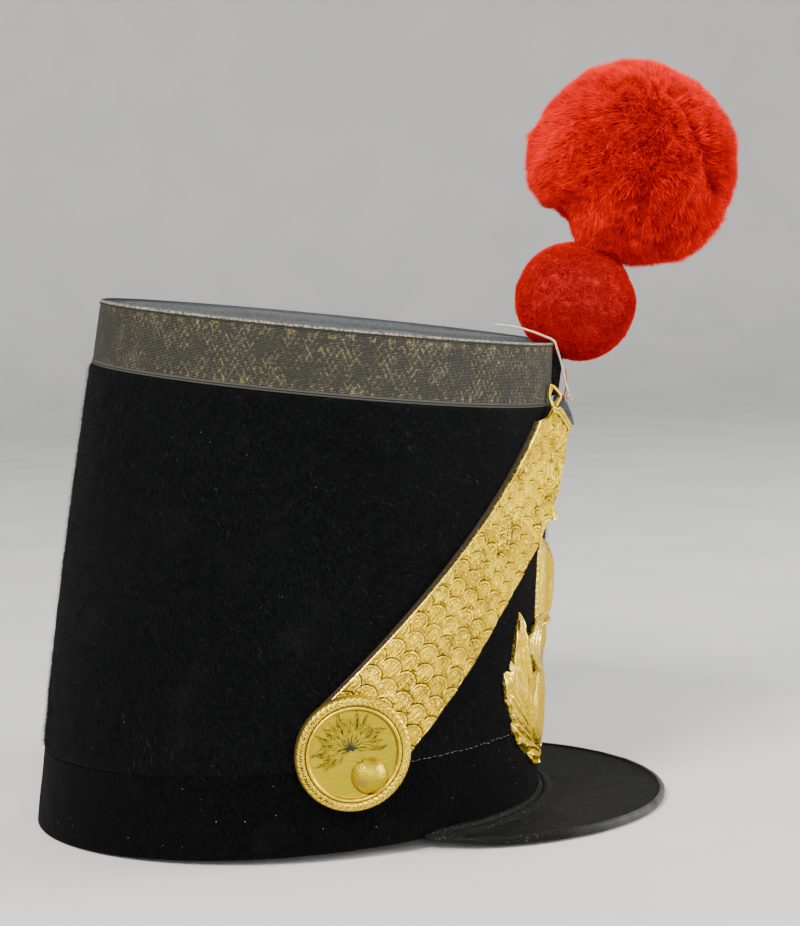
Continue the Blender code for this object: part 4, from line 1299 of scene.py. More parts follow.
def scale_pattern():
    """One scale, flat, as (across, along): across runs from -0.5 to 0.5 and along from its
    hidden root at 0 to its free end at 1. Its walls go down to -1."""
    piece, x, y, _, _ = cloth("scale_pattern", 12, 9)
    put(piece, np.stack([np.sin(np.pi * (x - 0.5)) * 0.5, 1 - (1 - y) ** 1.7, 0 * x], -1))

    def walls():
        bpy.ops.mesh.select_all(action="DESELECT")
        bpy.ops.mesh.select_mode(type="EDGE")
        bpy.ops.mesh.select_non_manifold()
        bpy.ops.mesh.extrude_region_move(TRANSFORM_OT_translate={"value": (0, 0, -1)})
        bpy.ops.mesh.fill_holes(sides=0)
        bpy.ops.mesh.select_mode(type="VERT")

    return edit(piece, walls, face_out)


SCALE_LANES = 4.5                     # scales across the strap
SCALES_PAST_END = 9.6                 # how far the last row runs onto the cap


def scale_copies(strap, side, pattern):
    """Places of every scale, with where each point lies on its scale and how far the row
    beyond it shows."""
    across_one, along_one, wall = points_of(pattern).T
    rows = sizes().scale_rows
    total = strap.length + SCALES_PAST_END
    ends = total * (np.arange(rows + 1) / rows) ** 0.965 + 0.6
    rounded = 1 - (2 * across_one) ** 2
    rng = np.random.default_rng(80 + side)
    places, marks = [], []
    for row in range(1, rows + 1):
        end, pitch = ends[row], ends[row] - ends[row - 1]
        lower, upper = strap.edges(np.array(min(end, strap.length)))
        wide = (upper - lower) / SCALE_LANES
        arc = wide / 2 * 0.96 * (1 - np.sqrt(np.clip(rounded, 0, 1)))
        root = end - wide / 2 - pitch * 1.5
        run = np.maximum(root + (end - arc - root) * along_one, -1.0)
        low, high = strap.edges(run)
        for k in range(5):
            middle = k + (0.5 if row % 2 else 0.0)
            share = (middle + across_one * 0.985) / SCALE_LANES
            natural = low + (strap.half_width(run / strap.length) * 2) * share
            across = np.clip(natural, low, high)
            fade = np.where(run > strap.length, 0.55, 1.0)
            level = 0.30 + 0.95 * (run - root) / (end - root)
            dish = 0.07 * rounded * (1 - along_one ** 6)
            tilt = rng.normal() * 0.14 * across_one + rng.normal() * 0.04
            out = 2.6 + level + dish * fade + tilt
            out = out - np.clip(np.abs(natural - across), 0, 0.6) * 0.35
            out = np.where(wall < 0, np.maximum(out - 0.55, 2.45), out)
            places.append(strap.point(run, across, out, side))
            label = 10.0 * len(places)
            marks.append(np.stack([across_one + label, (run - end) / wide,
                                   np.full(len(run), pitch / wide)], -1))
    return places, np.vstack(marks)


# (share of the strap's half width, extra width, height) round the scales' edge and round
# the lining
SCALE_EDGE = [(-1, 0.0, 2.45), (-1, -0.15, 2.6), (-1, -0.12, 2.95), (-1, 0.3, 3.05),
              (-1, 1.0, 2.8), (1, -1.0, 2.8), (1, -0.6, 3.2), (1, -0.35, 3.75),
              (1, 0.0, 3.9), (1, 0.3, 3.7), (1, 0.4, 3.2), (1, 0.3, 2.45)]
LINING = [(-1, 0.0, 0.75), (-1, -0.05, 1.5), (-1, 0.0, 2.25), (0, 0, 2.3), (1, 0, 2.3),
          (1, 0.75, 2.32), (1, 1.1, 2.1), (1, 1.15, 1.5), (1, 1.05, 0.95), (1, 0.6, 0.75),
          (0, 0, 0.75)]
# the cap's (place along, lower edge, upper edge, thickness)
CAP = [(0.3, -12.3, 12.2, 0.4), (1.2, -12.3, 11.4, 0.7), (3.4, -12.35, 9.3, 0.8),
       (5.6, -12.4, 7.3, 0.9), (8.0, -12.5, 6.4, 1.0), (9.9, -12.6, 5.6, 1.1),
       (10.2, -12.8, 5.5, 1.9), (10.6, -13.1, 5.3, 2.2), (11.1, -13.2, 5.1, 1.4),
       (11.6, -13.3, 5.0, 1.3), (12.0, -13.4, 4.8, 2.5), (12.8, -13.4, 4.6, 2.5),
       (13.2, -13.4, 4.5, 1.1)]
CAP_COLUMNS = 14


def build_scales():
    """Rows of overlapping scales on a leather lining, with a cap at the tip."""
    strap = Strap()
    struck = scale_material()
    gilt = gilt_material("gilt_cap", 0.8)
    raw = leather_material("raw_leather", colours().lining, (0.10, 0.08, 0.06), 0.2)
    pattern = scale_pattern()
    for side in (RIGHT, LEFT):
        name = SIDES[side]
        places, marks = scale_copies(strap, side, pattern)
        scales = placed(repeated("scales_" + name, pattern, places))
        marked(scales, marks[:, 0], marks[:, 1])
        edit(stored(scales, "lap", marks[:, 2]), face_out)
        finish(scales, struck, ("chin_scales_" + name,), 30)
        backing = band_on_strap("scale_edge_" + name, strap, side, SCALE_EDGE, -2.0,
                                strap.length + 0.5)
        finish(hollows(backing, 1), gilt, (), 32)
        lining = band_on_strap("lining_" + name, strap, side, LINING, 0.0, strap.length)
        finish(lining, raw, ("strap_lining_" + name,), 40)
        build_cap(strap, side, gilt)
    bpy.data.objects.remove(pattern)


def build_cap(strap, side, gilt):
    """The plate that ends the scales, with its raised bar."""
    piece, _, _, i, j = cloth("strap_cap_" + SIDES[side], len(CAP) - 1, 2 * CAP_COLUMNS)
    j = j % (2 * CAP_COLUMNS)
    top = j <= CAP_COLUMNS
    t = np.where(top, j, 2 * CAP_COLUMNS - j) / CAP_COLUMNS
    along, low, high, thick = np.array(CAP)[i].T
    crown = np.where(top, thick * (1 - np.abs(2 * t - 1) ** 16), 0)
    place = low + (high - low) * t
    placed(piece, strap.point(strap.length + along, place, 2.6 + crown, side))
    finish(hollows(closed(piece), 1), gilt, ("strap_tip_" + SIDES[side],), 40)


# ---- rosettes --------

ROSETTE_FIELD = 2.2                   # height of the flat field over the wall's side
ROSETTE_PLACE = (Strap.start, 39.7, 4.45)    # angle, height and stand-off of its middle
BORDER_REACH, BORDER_LEAVES = 20.45, 56
BALL_CENTRE, BALL_RADIUS = (5.7, -9.0), 7.6
FLAME_TONGUES, FLAME_POINTS = 23, 24
# (radius, height over the field) from the middle out, for a rosette of this radius
PROFILE_RADIUS = 22.3
ROSETTE_PROFILE = [
    (0.0, 0.25), (5.0, 0.22), (10.0, 0.12), (14.5, 0.0), (16.3, 0.0), (16.7, 0.0),
    (16.85, 0.06), (16.95, 0.4), (17.05, 0.85), (17.3, 1.2), (17.7, 1.4), (18.05, 1.35),
    (18.3, 1.1), (18.42, 0.75), (18.6, 0.7), (18.75, 0.9), (19.1, 1.15), (19.9, 1.35),
    (20.8, 1.3), (21.5, 1.0), (21.95, 0.5), (22.2, -0.2), (22.3, -0.9), (22.2, -1.9),
    (21.9, -2.2), (0.0, -2.2)]


def build_rosettes():
    """Round bosses with a leaf border and a raised ring round a flaming grenade."""
    gilt, shadow = rosette_material(), dark_hole_material()
    for side in (RIGHT, LEFT):
        build_rosette(side, gilt, shadow)


def rosette_material():
    """Gilt with an olive field, dark pits in the border and a brown spot on the ball; painted
    shade inside the raised ring, in the groove before the border and round the outer edge, and a
    painted shadow at the ball's foot.
    """
    r = Recipe("gilt_rosette")
    tone, mottle, pits = gilt_tones(r)
    u, v = r.cut_in_mm()
    reach = r.reach(u, v)
    field = reach.fall(16.4, 16.9)
    border = reach.rise(18.6, 18.9)
    tone = r.mix(field * 0.92, tone, (0.370, 0.285, 0.004))
    tone = r.mix((1.0 - field) * 0.35, tone, AGED_AND_SHADED)
    tone = r.mix(r.reach(u - 1.9, v + 10.6).fall(0.6, 3.0) * 0.65, tone, (0.30, 0.17, 0.04))

    # painted shade: inside the raised ring, deeper toward the upper right; in the groove before
    # the border; and round the outer edge, more toward the left
    sunk = reach.within(15.9, 16.7, 17.0, 17.3)
    sunk = sunk * (0.35 + 0.65 * (u * 0.8 + v * 0.6).rise(2, 12))
    groove = reach.within(18.2, 18.35, 18.6, 18.9)
    rim = reach.rise(21.3, 21.9) * (0.5 - 0.03 * u + 0.02 * v)
    turn = r.math("ARCTAN2", v, u) * (BORDER_LEAVES / (2 * math.pi))
    holes = (turn * 2.0 + reach * 0.6).wave() * abs(reach - 20.3).fall(0.35, 0.8)
    holes = (holes + 2.2 * r.noise(620.0, 3.0, 0.6) - 0.012 * u).rise(1.62, 1.90) * border
    chevron = (turn + abs(reach - 20.4) * 0.45).wave()
    chevron = chevron.rise(0.62, 0.95) * border * reach.fall(21.6, 22.0)
    dents = r.reach(u - 2.7, v + 3.9).fall(1.4, 2.4)
    dents = dents * r.noise(1300.0, 2.0).rise(0.55, 0.62)
    # a painted shadow round the foot of the ball, on its lower left
    beside, above = u - 5.7, v + 9.0
    seat = r.reach(beside, above).within(6.5, 6.9, 7.2, 7.6) * (beside + above).fall(-4.0, 6.0)
    grime_and_shade = (r.attribute("hollow").rise(0.10, 0.35) * (0.25 + 0.6 * border) + holes * 0.9
            + groove * 0.85 + sunk * 0.7 + rim * 0.7 + chevron * 0.60 + dents * 0.8
            + seat * 0.6 + pits.rise(0.64, 0.74) * 0.4).rise(0.0, 1.0)
    tone = r.mix(grime_and_shade, tone, (0.045, 0.025, 0.005))
    streak = r.noise(700.0, 3.0, 0.6, stretch=(1.0, 0.3, 1.0))
    height = mottle * 0.8 + streak * 0.8 - holes * 0.8 - chevron * 0.7 - dents * 0.5
    return gilded(r, tone, 1.0 - 0.7 * grime_and_shade - 0.12 * field,
                  0.22 + 0.18 * mottle + 0.12 * field + 0.2 * grime_and_shade,
                  r.bump(height, 0.0004, 0.7))


def border_leaves(k):
    """Two rows of slanted leaves round the border."""
    leaf, x, y, _, _ = cloth("border_leaf", 4, 3)
    body = np.sin(np.pi * np.clip(x, 0.02, 0.98)) ** 0.7
    put(leaf, np.stack([(x - 0.5) * 2.1, (y - 0.5) * 1.15 * body,
                        0.20 * body * np.sin(np.pi * y)], -1))
    along, across, rise = points_of(leaf).T
    places = []
    for i in range(BORDER_LEAVES):
        for lane, splay in ((-0.7, math.radians(32)), (0.7, math.radians(-32))):
            middle = 2 * math.pi * (i + 0.5 * (lane > 0)) / BORDER_LEAVES
            turn = middle + (along * math.cos(splay) - across * math.sin(splay)) / BORDER_REACH
            reach = BORDER_REACH * k + (along * math.sin(splay) + across * math.cos(splay)
                                        + lane)
            height = (ROSETTE_FIELD + 1.12 + rise - 0.25 * np.maximum(reach - 20.6, 0) ** 1.5)
            places.append(np.stack([reach * np.cos(turn), reach * np.sin(turn), height], -1))
    leaves = repeated("border_leaves", leaf, places)
    bpy.data.objects.remove(leaf)
    return leaves


def grenade_ball(toward):
    deselect()
    bpy.ops.mesh.primitive_uv_sphere_add(
        segments=40, ring_count=24, radius=BALL_RADIUS,
        location=(toward * BALL_CENTRE[0], BALL_CENTRE[1], ROSETTE_FIELD - 2.9))
    ball = added("grenade_ball")
    bpy.ops.object.transform_apply(location=True)

    def cut():
        bpy.ops.mesh.bisect(plane_co=(0, 0, ROSETTE_FIELD - 0.4), plane_no=(0, 0, 1),
                            clear_inner=True, use_fill=True)

    points = points_of(edit(ball, cut))
    dent = ripple(points, 3.2, 91) * 0.10
    near = 3 * np.exp(-((points[:, 0] - toward * 2.7) ** 2 + (points[:, 1] + 3.9) ** 2) / 4.0)
    points[:, 2] += np.where(points[:, 2] > ROSETTE_FIELD, dent * (0.15 + near), 0)
    return put(ball, points)


def flames(toward):
    """The collar at the grenade's mouth with its tongues of flame, and the dark lines on them,
    which are painted shade.
    """
    rng = np.random.default_rng(92)
    tongues, lines = [], []
    aim = np.array([-toward * 0.45, 0.9])
    cross = np.array([aim[1], -aim[0]])
    for t in (-0.9, 0.0, 0.9):
        line = [(toward * 2.1, -2.2) + cross * (s * 1.9) + aim * (t * 0.55)
                for s in (-1, 0, 1)]
        lift = ROSETTE_FIELD + np.array([0.25, 0.75, 0.25])
        tongues.append((np.column_stack([line, lift]), np.array([0.30, 0.42, 0.30])))
    root = np.array([toward * -1.2, 2.2])
    t = np.linspace(0.12, 1, FLAME_POINTS)
    swell = np.sin(np.pi * t ** 1.3) ** 0.8
    for i in range(FLAME_TONGUES):
        fan = math.radians(217 - 220 * i / (FLAME_TONGUES - 1))
        heading = np.array([toward * math.cos(fan), math.sin(fan)])
        cross = np.array([-heading[1], heading[0]])
        reach = 13.3 + 2.3 * math.sin(i * 2.4) * rng.uniform(0.6, 1.1)
        swing = (-1) ** i * rng.uniform(0.5, 0.9)
        phase = rng.uniform(0, 1.5)
        wave = swing * np.sin(t * 2 * np.pi * rng.uniform(1.7, 2.5) + phase) * t ** 0.6

        def strand(share, aside, lift):
            line = (root + heading * (t * reach * share)[:, None]
                    + cross * (wave + aside)[:, None])
            return np.column_stack([line, ROSETTE_FIELD + lift])

        for s in (-1, 0, 1):
            aside = s * 0.50 * swell + 0.12 * np.sin(t * 11 + s)
            tongues.append((strand(1, aside, 0.22 + 0.35 * swell),
                            0.33 * (1 - t ** 2.2) * (0.5 + 0.5 * swell) + 0.04))
        for s in (-1.9, -1.1, -0.35, 0.35, 1.1, 1.9):
            share = rng.uniform(0.75, 1.0)
            shiver = 0.13 * np.sin(t * rng.uniform(14, 22) + rng.uniform(0, 6))
            lines.append((strand(share, shiver + s * 0.50 * swell, 0.42 + 0.30 * swell),
                          rng.uniform(0.05, 0.085) * (0.45 + 0.55 * np.sin(np.pi * t)) + 0.02))
    return tongues, lines


def build_rosette(side, gilt, shadow):
    k = sizes().rosette_radius / MM / PROFILE_RADIUS
    toward = -side
    disc = spun("rosette_disc_" + SIDES[side],
                [(r * k, ROSETTE_FIELD + h) for r, h in ROSETTE_PROFILE], 120)
    tongues, lines = flames(toward)
    boss = joined("rosette_relief_" + SIDES[side], [
        disc, border_leaves(k), grenade_ball(toward),
        cord_mesh("flames", *zip(*tongues), 6)])
    x, y, _ = points_of(boss).T
    marked(boss, x * toward * MM, y * MM)
    finish(hollows(mount_rosette(boss, side), 0), gilt,
           ("rosette_" + SIDES[side],), 40)
    # dark cords along the flames: painted shade between their strands
    dark_marks = cord_mesh("flame_lines_" + SIDES[side], *zip(*lines), 5)
    finish(mount_rosette(dark_marks, side), shadow, (), 40)

    # a flat dark blob: painted shade in the pierced mouth of the flames
    deselect()
    bpy.ops.mesh.primitive_uv_sphere_add(segments=32, ring_count=16, radius=1.0)
    hole = added("grenade_mouth_" + SIDES[side])
    flat = points_of(hole)
    points = flat * (2.3, 0.95, 0.3)
    points[:, :2] *= (1 + 0.30 * np.sin(5 * np.arctan2(flat[:, 1], flat[:, 0])
                                        + 2 * flat[:, 0]))[:, None]
    points[:, 2] += 0.12 * ripple(points, 1.2, 93)
    put(hole, (points + (-1.2, 2.3, ROSETTE_FIELD + 0.75)) * (toward, 1, 1))
    finish(mount_rosette(hole, side), shadow, (), 40)


def mount_rosette(piece, side):
    """Sets a part that was modelled flat onto the wall, at the strap's foot."""
    angle, height, stand_off = ROSETTE_PLACE
    base, (around, up, out) = block().seat(side * angle, height)
    x, y, z = points_of(piece).T[..., None]
    return edit(placed(piece, base + out * stand_off + x * around + y * up + z * out), face_out)


def dark_hole_material():
    r = Recipe("pierced_shadow")
    spot = r.noise(1100.0, 3.0, 0.6)
    base = r.mix(spot.rise(0.52, 0.68), (0.020, 0.020, 0.016), (0.17, 0.14, 0.05))
    return r.surface(Base_Color=base, Roughness=0.8, Specular_IOR_Level=0.1,
                     Metallic=spot.rise(0.52, 0.68) * 0.5)


# ---- front plate --------

def on_plate(across, height, relief):
    """A place on the front, from the flat plate's own coordinates."""
    form = block()
    angle = np.degrees(np.asarray(across, float) / form.half_length)
    return form.point(angle, height, 0.4 + np.asarray(relief, float))


def plate_leaf(spine, width, relief, curl, flutes):
    """A cast leaf along a spine of (across, height) points: fluted, full-bodied and with a
    tip that curls up. Its first and last rows run down to the plate's back."""
    columns, rows = 28, 26
    piece, x, _, i, j = cloth("leaf", columns, rows)
    path = smooth_path(spine, columns + 1)
    tangent = unit(np.gradient(path, axis=0))
    normal = np.stack([-tangent[:, 1], tangent[:, 0]], -1)
    s = np.clip((j - 1) / (rows - 2) * 2 - 1, -1, 1)
    wide = width / 2 * (np.minimum(1, 0.35 + x / 0.35) * (1 - x ** 5) ** 0.8 + 0.02)
    wide = wide * (1 + 0.05 * np.sin(x * 31) * np.abs(s) ** 3)
    flat = path[i] + normal[i] * (s * wide)[:, None]
    flute = np.cos(s * np.pi * flutes)
    body = relief * (0.5 + 0.5 * np.sin(np.pi * x ** 0.8)) * (1 - 0.45 * s ** 2)
    tip = curl * 1.4 * np.exp(-((x - 0.86) / 0.10) ** 2)
    top = (body + 0.34 * flute * np.minimum(1, width / 8) + tip) * (1 - x ** 14)
    top = np.where((j == 0) | (j == rows), 0.0, top)
    put(piece, np.column_stack([flat, top]))
    # how deep each point lies in a flute, which the gilt darkens as painted shade
    stored(piece, "groove", (0.5 - 0.5 * flute) * (1 - x ** 4))
    return edit(piece, close_ends, face_out)


def plate_dome(name, centre, half_size, relief, outline, gores=0.0, swell=0.5):
    """A swelling on the plate with its own outline, and with low gores that meet on top."""
    piece, x, y, _, _ = cloth(name, 72, 18)
    share = 1 - y
    ox, oy = outline(2 * np.pi * x)
    across = centre[0] + ox * half_size[0] * share
    height = centre[1] + oy * half_size[1] * share
    top = relief * np.clip(1 - share ** 2.2, 0, 1) ** swell
    top = top * (1 + gores * np.cos(across / half_size[0] * 15.7))
    return closed(put(piece, np.column_stack([across, height, top])))


def shield_outline(turn):
    """A plain shield: nearly square above, drawn to a point below."""
    x, y = np.sin(turn), np.cos(turn)
    square = 1 / np.maximum(np.maximum(np.abs(x), np.abs(y)), 1e-6) ** 0.55
    ox, oy = x * square, y * square
    taper = np.where(oy < 0, 1 - 0.5 * np.abs(oy) ** 1.8, 1 - 0.10 * oy)
    return ox * taper, np.where(oy < 0, oy * 1.08, oy * 0.92)


def crown_outline(turn):
    """The crown seen flat: nearly square, with its upper corners drawn up."""
    x, y = np.sin(turn), np.cos(turn)
    square = 1 / np.maximum(np.maximum(np.abs(x), np.abs(y)), 1e-6) ** 0.8
    return x * square, y * square + 0.65 * x * x * np.clip(y, 0, 1)


def neck_outline(turn):
    """The knot of ribbon under the crown."""
    x, y = np.sin(turn), np.cos(turn)
    return x * (1 - 0.25 * np.clip(-y, 0, 1)), y + 0.10 * np.cos(3 * turn)


SHIELD_CENTRE, SHIELD_HALF = (0, 35.0), (30.0, 19.0)
# (name, middle, half size, relief, outline, gores, swell) of each swelling
PLATE_DOMES = [
    ("backing", (0, 38.0), (41.0, 24.0), 0.7, neck_outline),
    ("shield", SHIELD_CENTRE, SHIELD_HALF, 2.5, shield_outline),
    ("crown_cap", (0, 84.5), (33.0, 18.5), 4.8, crown_outline, 0.12, 0.9),
    ("ribbon_knot", (0, 62.5), (30.0, 7.5), 2.5, neck_outline, 0.08),
    ("ribbon_end", (0, 57.5), (20.0, 6.5), 1.0, neck_outline, 0.12),
]
# lines on one side of the plate, as (across, height, relief)
CROWN_CURL = [(29.5, 101.0, 0.8), (30.5, 104.5, 1.0), (31.5, 107.0, 1.0), (33.5, 108.0, 0.8),
              (34.8, 106.8, 0.6)]
RIBBON_FOLD = [(18, 75.5, 1.2), (33, 72.5, 1.5), (40.5, 67.5, 1.8), (39.5, 61.5, 1.6),
               (33, 56, 1.2), (23, 51.5, 0.8)]
SCROLL = [(47, 27.5, 1.2), (41, 24.4, 1.4), (34, 22.4, 1.2), (26, 19.5, 0.6),
          (14, 14.5, 0.2), (0, 12.0, 0.0)]
# The leaves' (spine, width, relief, curl, flutes): upright beside the crown, and fanned out
# below it.
LEAVES = [
    ([(29, 22), (35, 32), (39, 44), (41.5, 58)], 9.0, 2.6, 0.2, 2),
    ([(39, 34), (45, 48), (49.0, 62), (50.5, 76.5)], 12.5, 3.0, 0.5, 2),
    ([(36, 40), (41, 52), (45, 63), (45.5, 73)], 8.0, 3.0, 0.3, 2),
    ([(42, 42), (47.0, 54), (50.0, 67), (49.5, 80.0)], 6.0, 3.2, 1.0, 1),
    ([(41, 33), (48, 42), (55.0, 50.5), (59.8, 57.5)], 10.5, 2.6, 0.6, 2),
    ([(40, 34), (45, 44), (51.0, 53.0), (54.5, 62)], 9.5, 2.2, 0.6, 3),
    ([(38, 30), (45, 37.0), (52.0, 43.5), (58.5, 49.5)], 9.5, 2.6, 0.6, 3),
    ([(36, 27), (43, 32.5), (49, 38), (54.5, 42.5)], 9.0, 2.4, 0.4, 3),
    ([(35, 24), (41, 28.5), (47, 32.5), (53.0, 36.0)], 8.5, 2.3, 0.4, 3),
    ([(33, 21), (38, 24.5), (43, 27.5), (48.5, 31)], 7.5, 2.1, 0.4, 3),
    ([(17, 15), (23, 15.5), (29, 17), (35, 19.5)], 6.5, 1.8, 0.5, 2),
]


CROWN_HALF_WIDTH, CROWN_FOOT = 31.0, 70.5
PEARLS = 14
CIRCLETS = ((CROWN_FOOT, 0.9), (75.0, 0.6))                        # height, thickness
FOLDS = ((0, 0, 2.0), (-5.5, 0.5, 1.8), (-11, 0.7, 1.7))           # shift, sink, thickness


def plate_lines():
    """The crown's curled corners, its pearled arches and circlets, the folds of ribbon under
    it, and the scrolls and the knotty stalk at the foot, each as (path, radii)."""
    beads = np.linspace(0, 1, 85)
    pearls = 0.30 * np.abs(np.sin(beads * PEARLS * np.pi))
    fold = smooth_path(RIBBON_FOLD, 30)
    swell = 0.55 + 0.45 * np.sin(np.pi * np.linspace(0.05, 0.95, 30))
    arch = np.column_stack([CROWN_HALF_WIDTH + 0.5 * np.sin(beads * np.pi),
                            CROWN_FOOT + 31.0 * beads, np.full(len(beads), 0.4)])
    half = [(smooth_path(CROWN_CURL, 16), np.linspace(1.1, 0.7, 16)), (arch, 0.55 + pearls)]
    for level, wide in CIRCLETS:
        half.append((np.column_stack([CROWN_HALF_WIDTH * beads,
                                      level - 1.5 * (1 - beads ** 2),
                                      (level / 10 - 4.7) * (1 - beads ** 3) + 0.3]),
                     wide + pearls))
    for shift, sink, thick in FOLDS:
        half.append((fold + (shift, shift * 0.25, -sink), thick * swell))
    scroll = (smooth_path(SCROLL, 30), np.linspace(1.5, 1.0, 30))
    t = np.linspace(0, 1, 18)
    stalk = (np.column_stack([0 * t, 19 - 12.0 * t, 0.4 - 0.3 * t]),
             1.5 - 0.5 * t + 0.3 * np.sin(t * 20))
    mirrored = [(path * (sign, 1, 1), radii) for lines in (half, [scroll]) for sign in (-1, 1)
                for path, radii in lines]
    return mirrored + [stalk]


def build_plate():
    """The cast front plate: a crown over a plain shield between leaves."""
    domes = [plate_dome(*dome) for dome in PLATE_DOMES]
    ox, oy = shield_outline(np.linspace(0, 2 * np.pi, 97))
    border = np.column_stack([ox * SHIELD_HALF[0], SHIELD_CENTRE[1] + oy * SHIELD_HALF[1],
                              np.full(97, 0.5)])
    border = cord_mesh("shield_border", [border], [0.6], 10, False)
    ribbons = cord_mesh("ribbons", *zip(*plate_lines()), 10)
    leaves = [plate_leaf([(sign * a, h) for a, h in spine], *form)
              for sign in (-1, 1) for spine, *form in LEAVES]
    plate = joined("plate_relief", [*domes[:2], border, *domes[2:], ribbons, *leaves])
    across, height, relief = points_of(plate).T
    placed(plate, on_plate(across, height, np.maximum(relief, 0.0)))
    # the plate's gilt takes 0.40 of painted shade, a darker copy of the gilt
    finish(hollows(edit(plate, face_out), 0), gilt_material("gilt_plate", 1.0, 0.40),
           ("front_plate",), 40)


LOOP_FOOT, LOOP_LENGTH, LOOP_HALF_WIDTH = 112.5, 40.5, 2.4
BUTTON_HEIGHT, BUTTON_OUT = 111.4, 1.9
# a bell with its mouth down, as (radius, height above the mouth)
BUTTON_PROFILE = [(0.0, 14.6), (1.0, 14.5), (1.7, 13.8), (2.0, 12.2), (2.25, 9.5), (2.6, 6.8),
                  (3.2, 4.2), (4.0, 2.0), (4.7, 0.6), (5.0, 0.0), (4.7, -0.15), (4.2, 0.4),
                  (3.3, 1.8), (2.4, 4.0), (1.5, 6.5), (0.0, 7.5)]


def build_loop():
    """The cockade loop down the front and its flared button."""
    gilt = gilt_material("gilt_loop", 0.6)
    form = block()
    strip, x, _, _, j = cloth("loop_strip", 40, 12)
    height = LOOP_FOOT + LOOP_LENGTH * x
    turn = 2 * np.pi * (j % 12) / 12
    across = LOOP_HALF_WIDTH * np.sign(np.cos(turn)) * np.abs(np.cos(turn)) ** 0.4
    out = 0.95 + 0.62 * np.sin(turn) + 0.16 * np.sin(height * 2.2)
    placed(strip, form.point(np.degrees(across / form.half_length), height, out))
    finish(hollows(closed(strip), 1), gilt, ("cockade_loop",), 40)

    button = spun("flared_button", BUTTON_PROFILE, 56)
    base, (around, up, out) = form.seat(0.0, BUTTON_HEIGHT, BUTTON_OUT)
    x, y, z = points_of(button).T
    wave = 1 + 0.06 * np.cos(7 * np.arctan2(y, x)) * np.clip((5 - z) / 5, 0, 1)
    placed(button, base + (x * wave * 1.15)[:, None] * around
           + (1.0 + y * wave * 0.72 - 0.05 * z)[:, None] * out
           + (z + 0.25 * x)[:, None] * up)
    finish(hollows(edit(button, face_out), 1), gilt, ("loop_button",), 40)


# ---- hook and holder --------

# (forward, height) round the bent wire of a ring, from its centre
RING_WIRE = [(-1.7, 5.0), (-2.5, 1.3), (-1.9, -2.4), (-0.6, -4.7), (0.8, -2.5), (2.1, 0.1),
             (0.5, 2.8)]
RING_CENTRE = (26.6, 119.9, 162.9)    # from the middle, forward, height
# (forward, height) round the tab, and its (depth, share of the outline) through its thickness
TAB_OUTLINE = [(121.4, 159.2), (122.0, 161.2), (125.7, 161.0), (128.9, 152.4),
               (128.7, 149.0), (122.9, 157.6)]
TAB_SECTION = [(-2.4, 0.0), (-2.4, 0.82), (-2.2, 0.94), (-1.6, 1), (-0.9, 1), (-0.3, 1),
               (0, 1), (0.3, 1), (0.9, 1), (1.6, 1), (2.2, 0.94), (2.4, 0.82), (2.4, 0.0)]
# (left, back, height) down the red thread that hangs at the tips
WISP_ROUTE = [(-4.6, -126.7, 172.5), (-5.0, -126.9, 168.5), (-4.2, -126.4, 164.5),
              (-3.0, -125.6, 161.4), (-2.4, -125.9, 159.5)]


def ring_round(outline, count):
    """A smooth closed line through (forward, height) points."""
    return smooth_path([(0, -f, h) for f, h in outline + outline[:1]], count)


def build_hook():
    """The wire rings and the leather tab that hold the strap's tips, and the plume's socket."""
    brass = gilt_material("brass_wire", 0.4)
    bent = ring_round(RING_WIRE, 57)
    aside, forward, level = RING_CENTRE
    for side in (RIGHT, LEFT):
        paths = [np.column_stack([
            np.full(57, side * (aside - shift)),
            -(forward + grow * (lean * bent[:, 2] - bent[:, 1])), level + grow * bent[:, 2]])
            for lean, grow, shift in ((0.0, 1.0, 0.0), (0.22, 0.90, 1.1))]
        ring = cord_mesh("wire_ring_" + SIDES[side], paths, [0.55, 0.45], 10, False)
        finish(edit(placed(ring), weld, face_out), brass,
               ("hook_ring_" + SIDES[side],), 60)

    rows = 60
    dense = ring_round(TAB_OUTLINE, rows + 1)
    middle = dense[:-1].mean(0)
    piece, _, _, i, j = cloth("tab_leather", len(TAB_SECTION) - 1, rows)
    depth, share = np.array(TAB_SECTION)[i].T
    outward = dense[j % rows] - middle
    points = middle + outward * share[:, None]
    points[:, 0] = depth
    points += (unit(outward) * 0.12 * ripple(points, 1.8, 101)[:, None]
               * (share > 0.5)[:, None])
    finish(closed(placed(piece, points)), tab_material(), ("hook_tab",), 50)

    rng = np.random.default_rng(103)
    thread = smooth_path(WISP_ROUTE, 24)
    paths = [thread + rng.normal(size=3) * 0.16 for _ in range(3)]
    wisps = placed(cord_mesh("wool_thread", paths, [0.16] * 3, 6))
    finish(wisps, string_material("red_thread", (0.50, 0.075, 0.06)))

    black = leather_material("socket_leather", colours().leather, (0.05, 0.045, 0.04), 0.3)
    for name in ("pompom_holder", "pompom_wire"):
        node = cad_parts[name]
        if not node.material_slots:
            node.data.materials.append(black)
        for place in node.material_slots:
            place.material = black


def tab_material():
    r = Recipe("tab_leather")
    fuzz = r.noise(1500.0, 4.0, 0.7)
    patch = r.noise(220.0, 3.0)
    base = r.mix(fuzz.rise(0.35, 0.68), (0.018, 0.022, 0.031), (0.105, 0.122, 0.150))
    base = r.mix(patch.rise(0.55, 0.75) * 0.6, base, (0.045, 0.042, 0.038))
    return r.surface(Base_Color=base, Roughness=0.85, Normal=r.bump(fuzz, 0.0005, 0.8))


# ---- pompoms --------

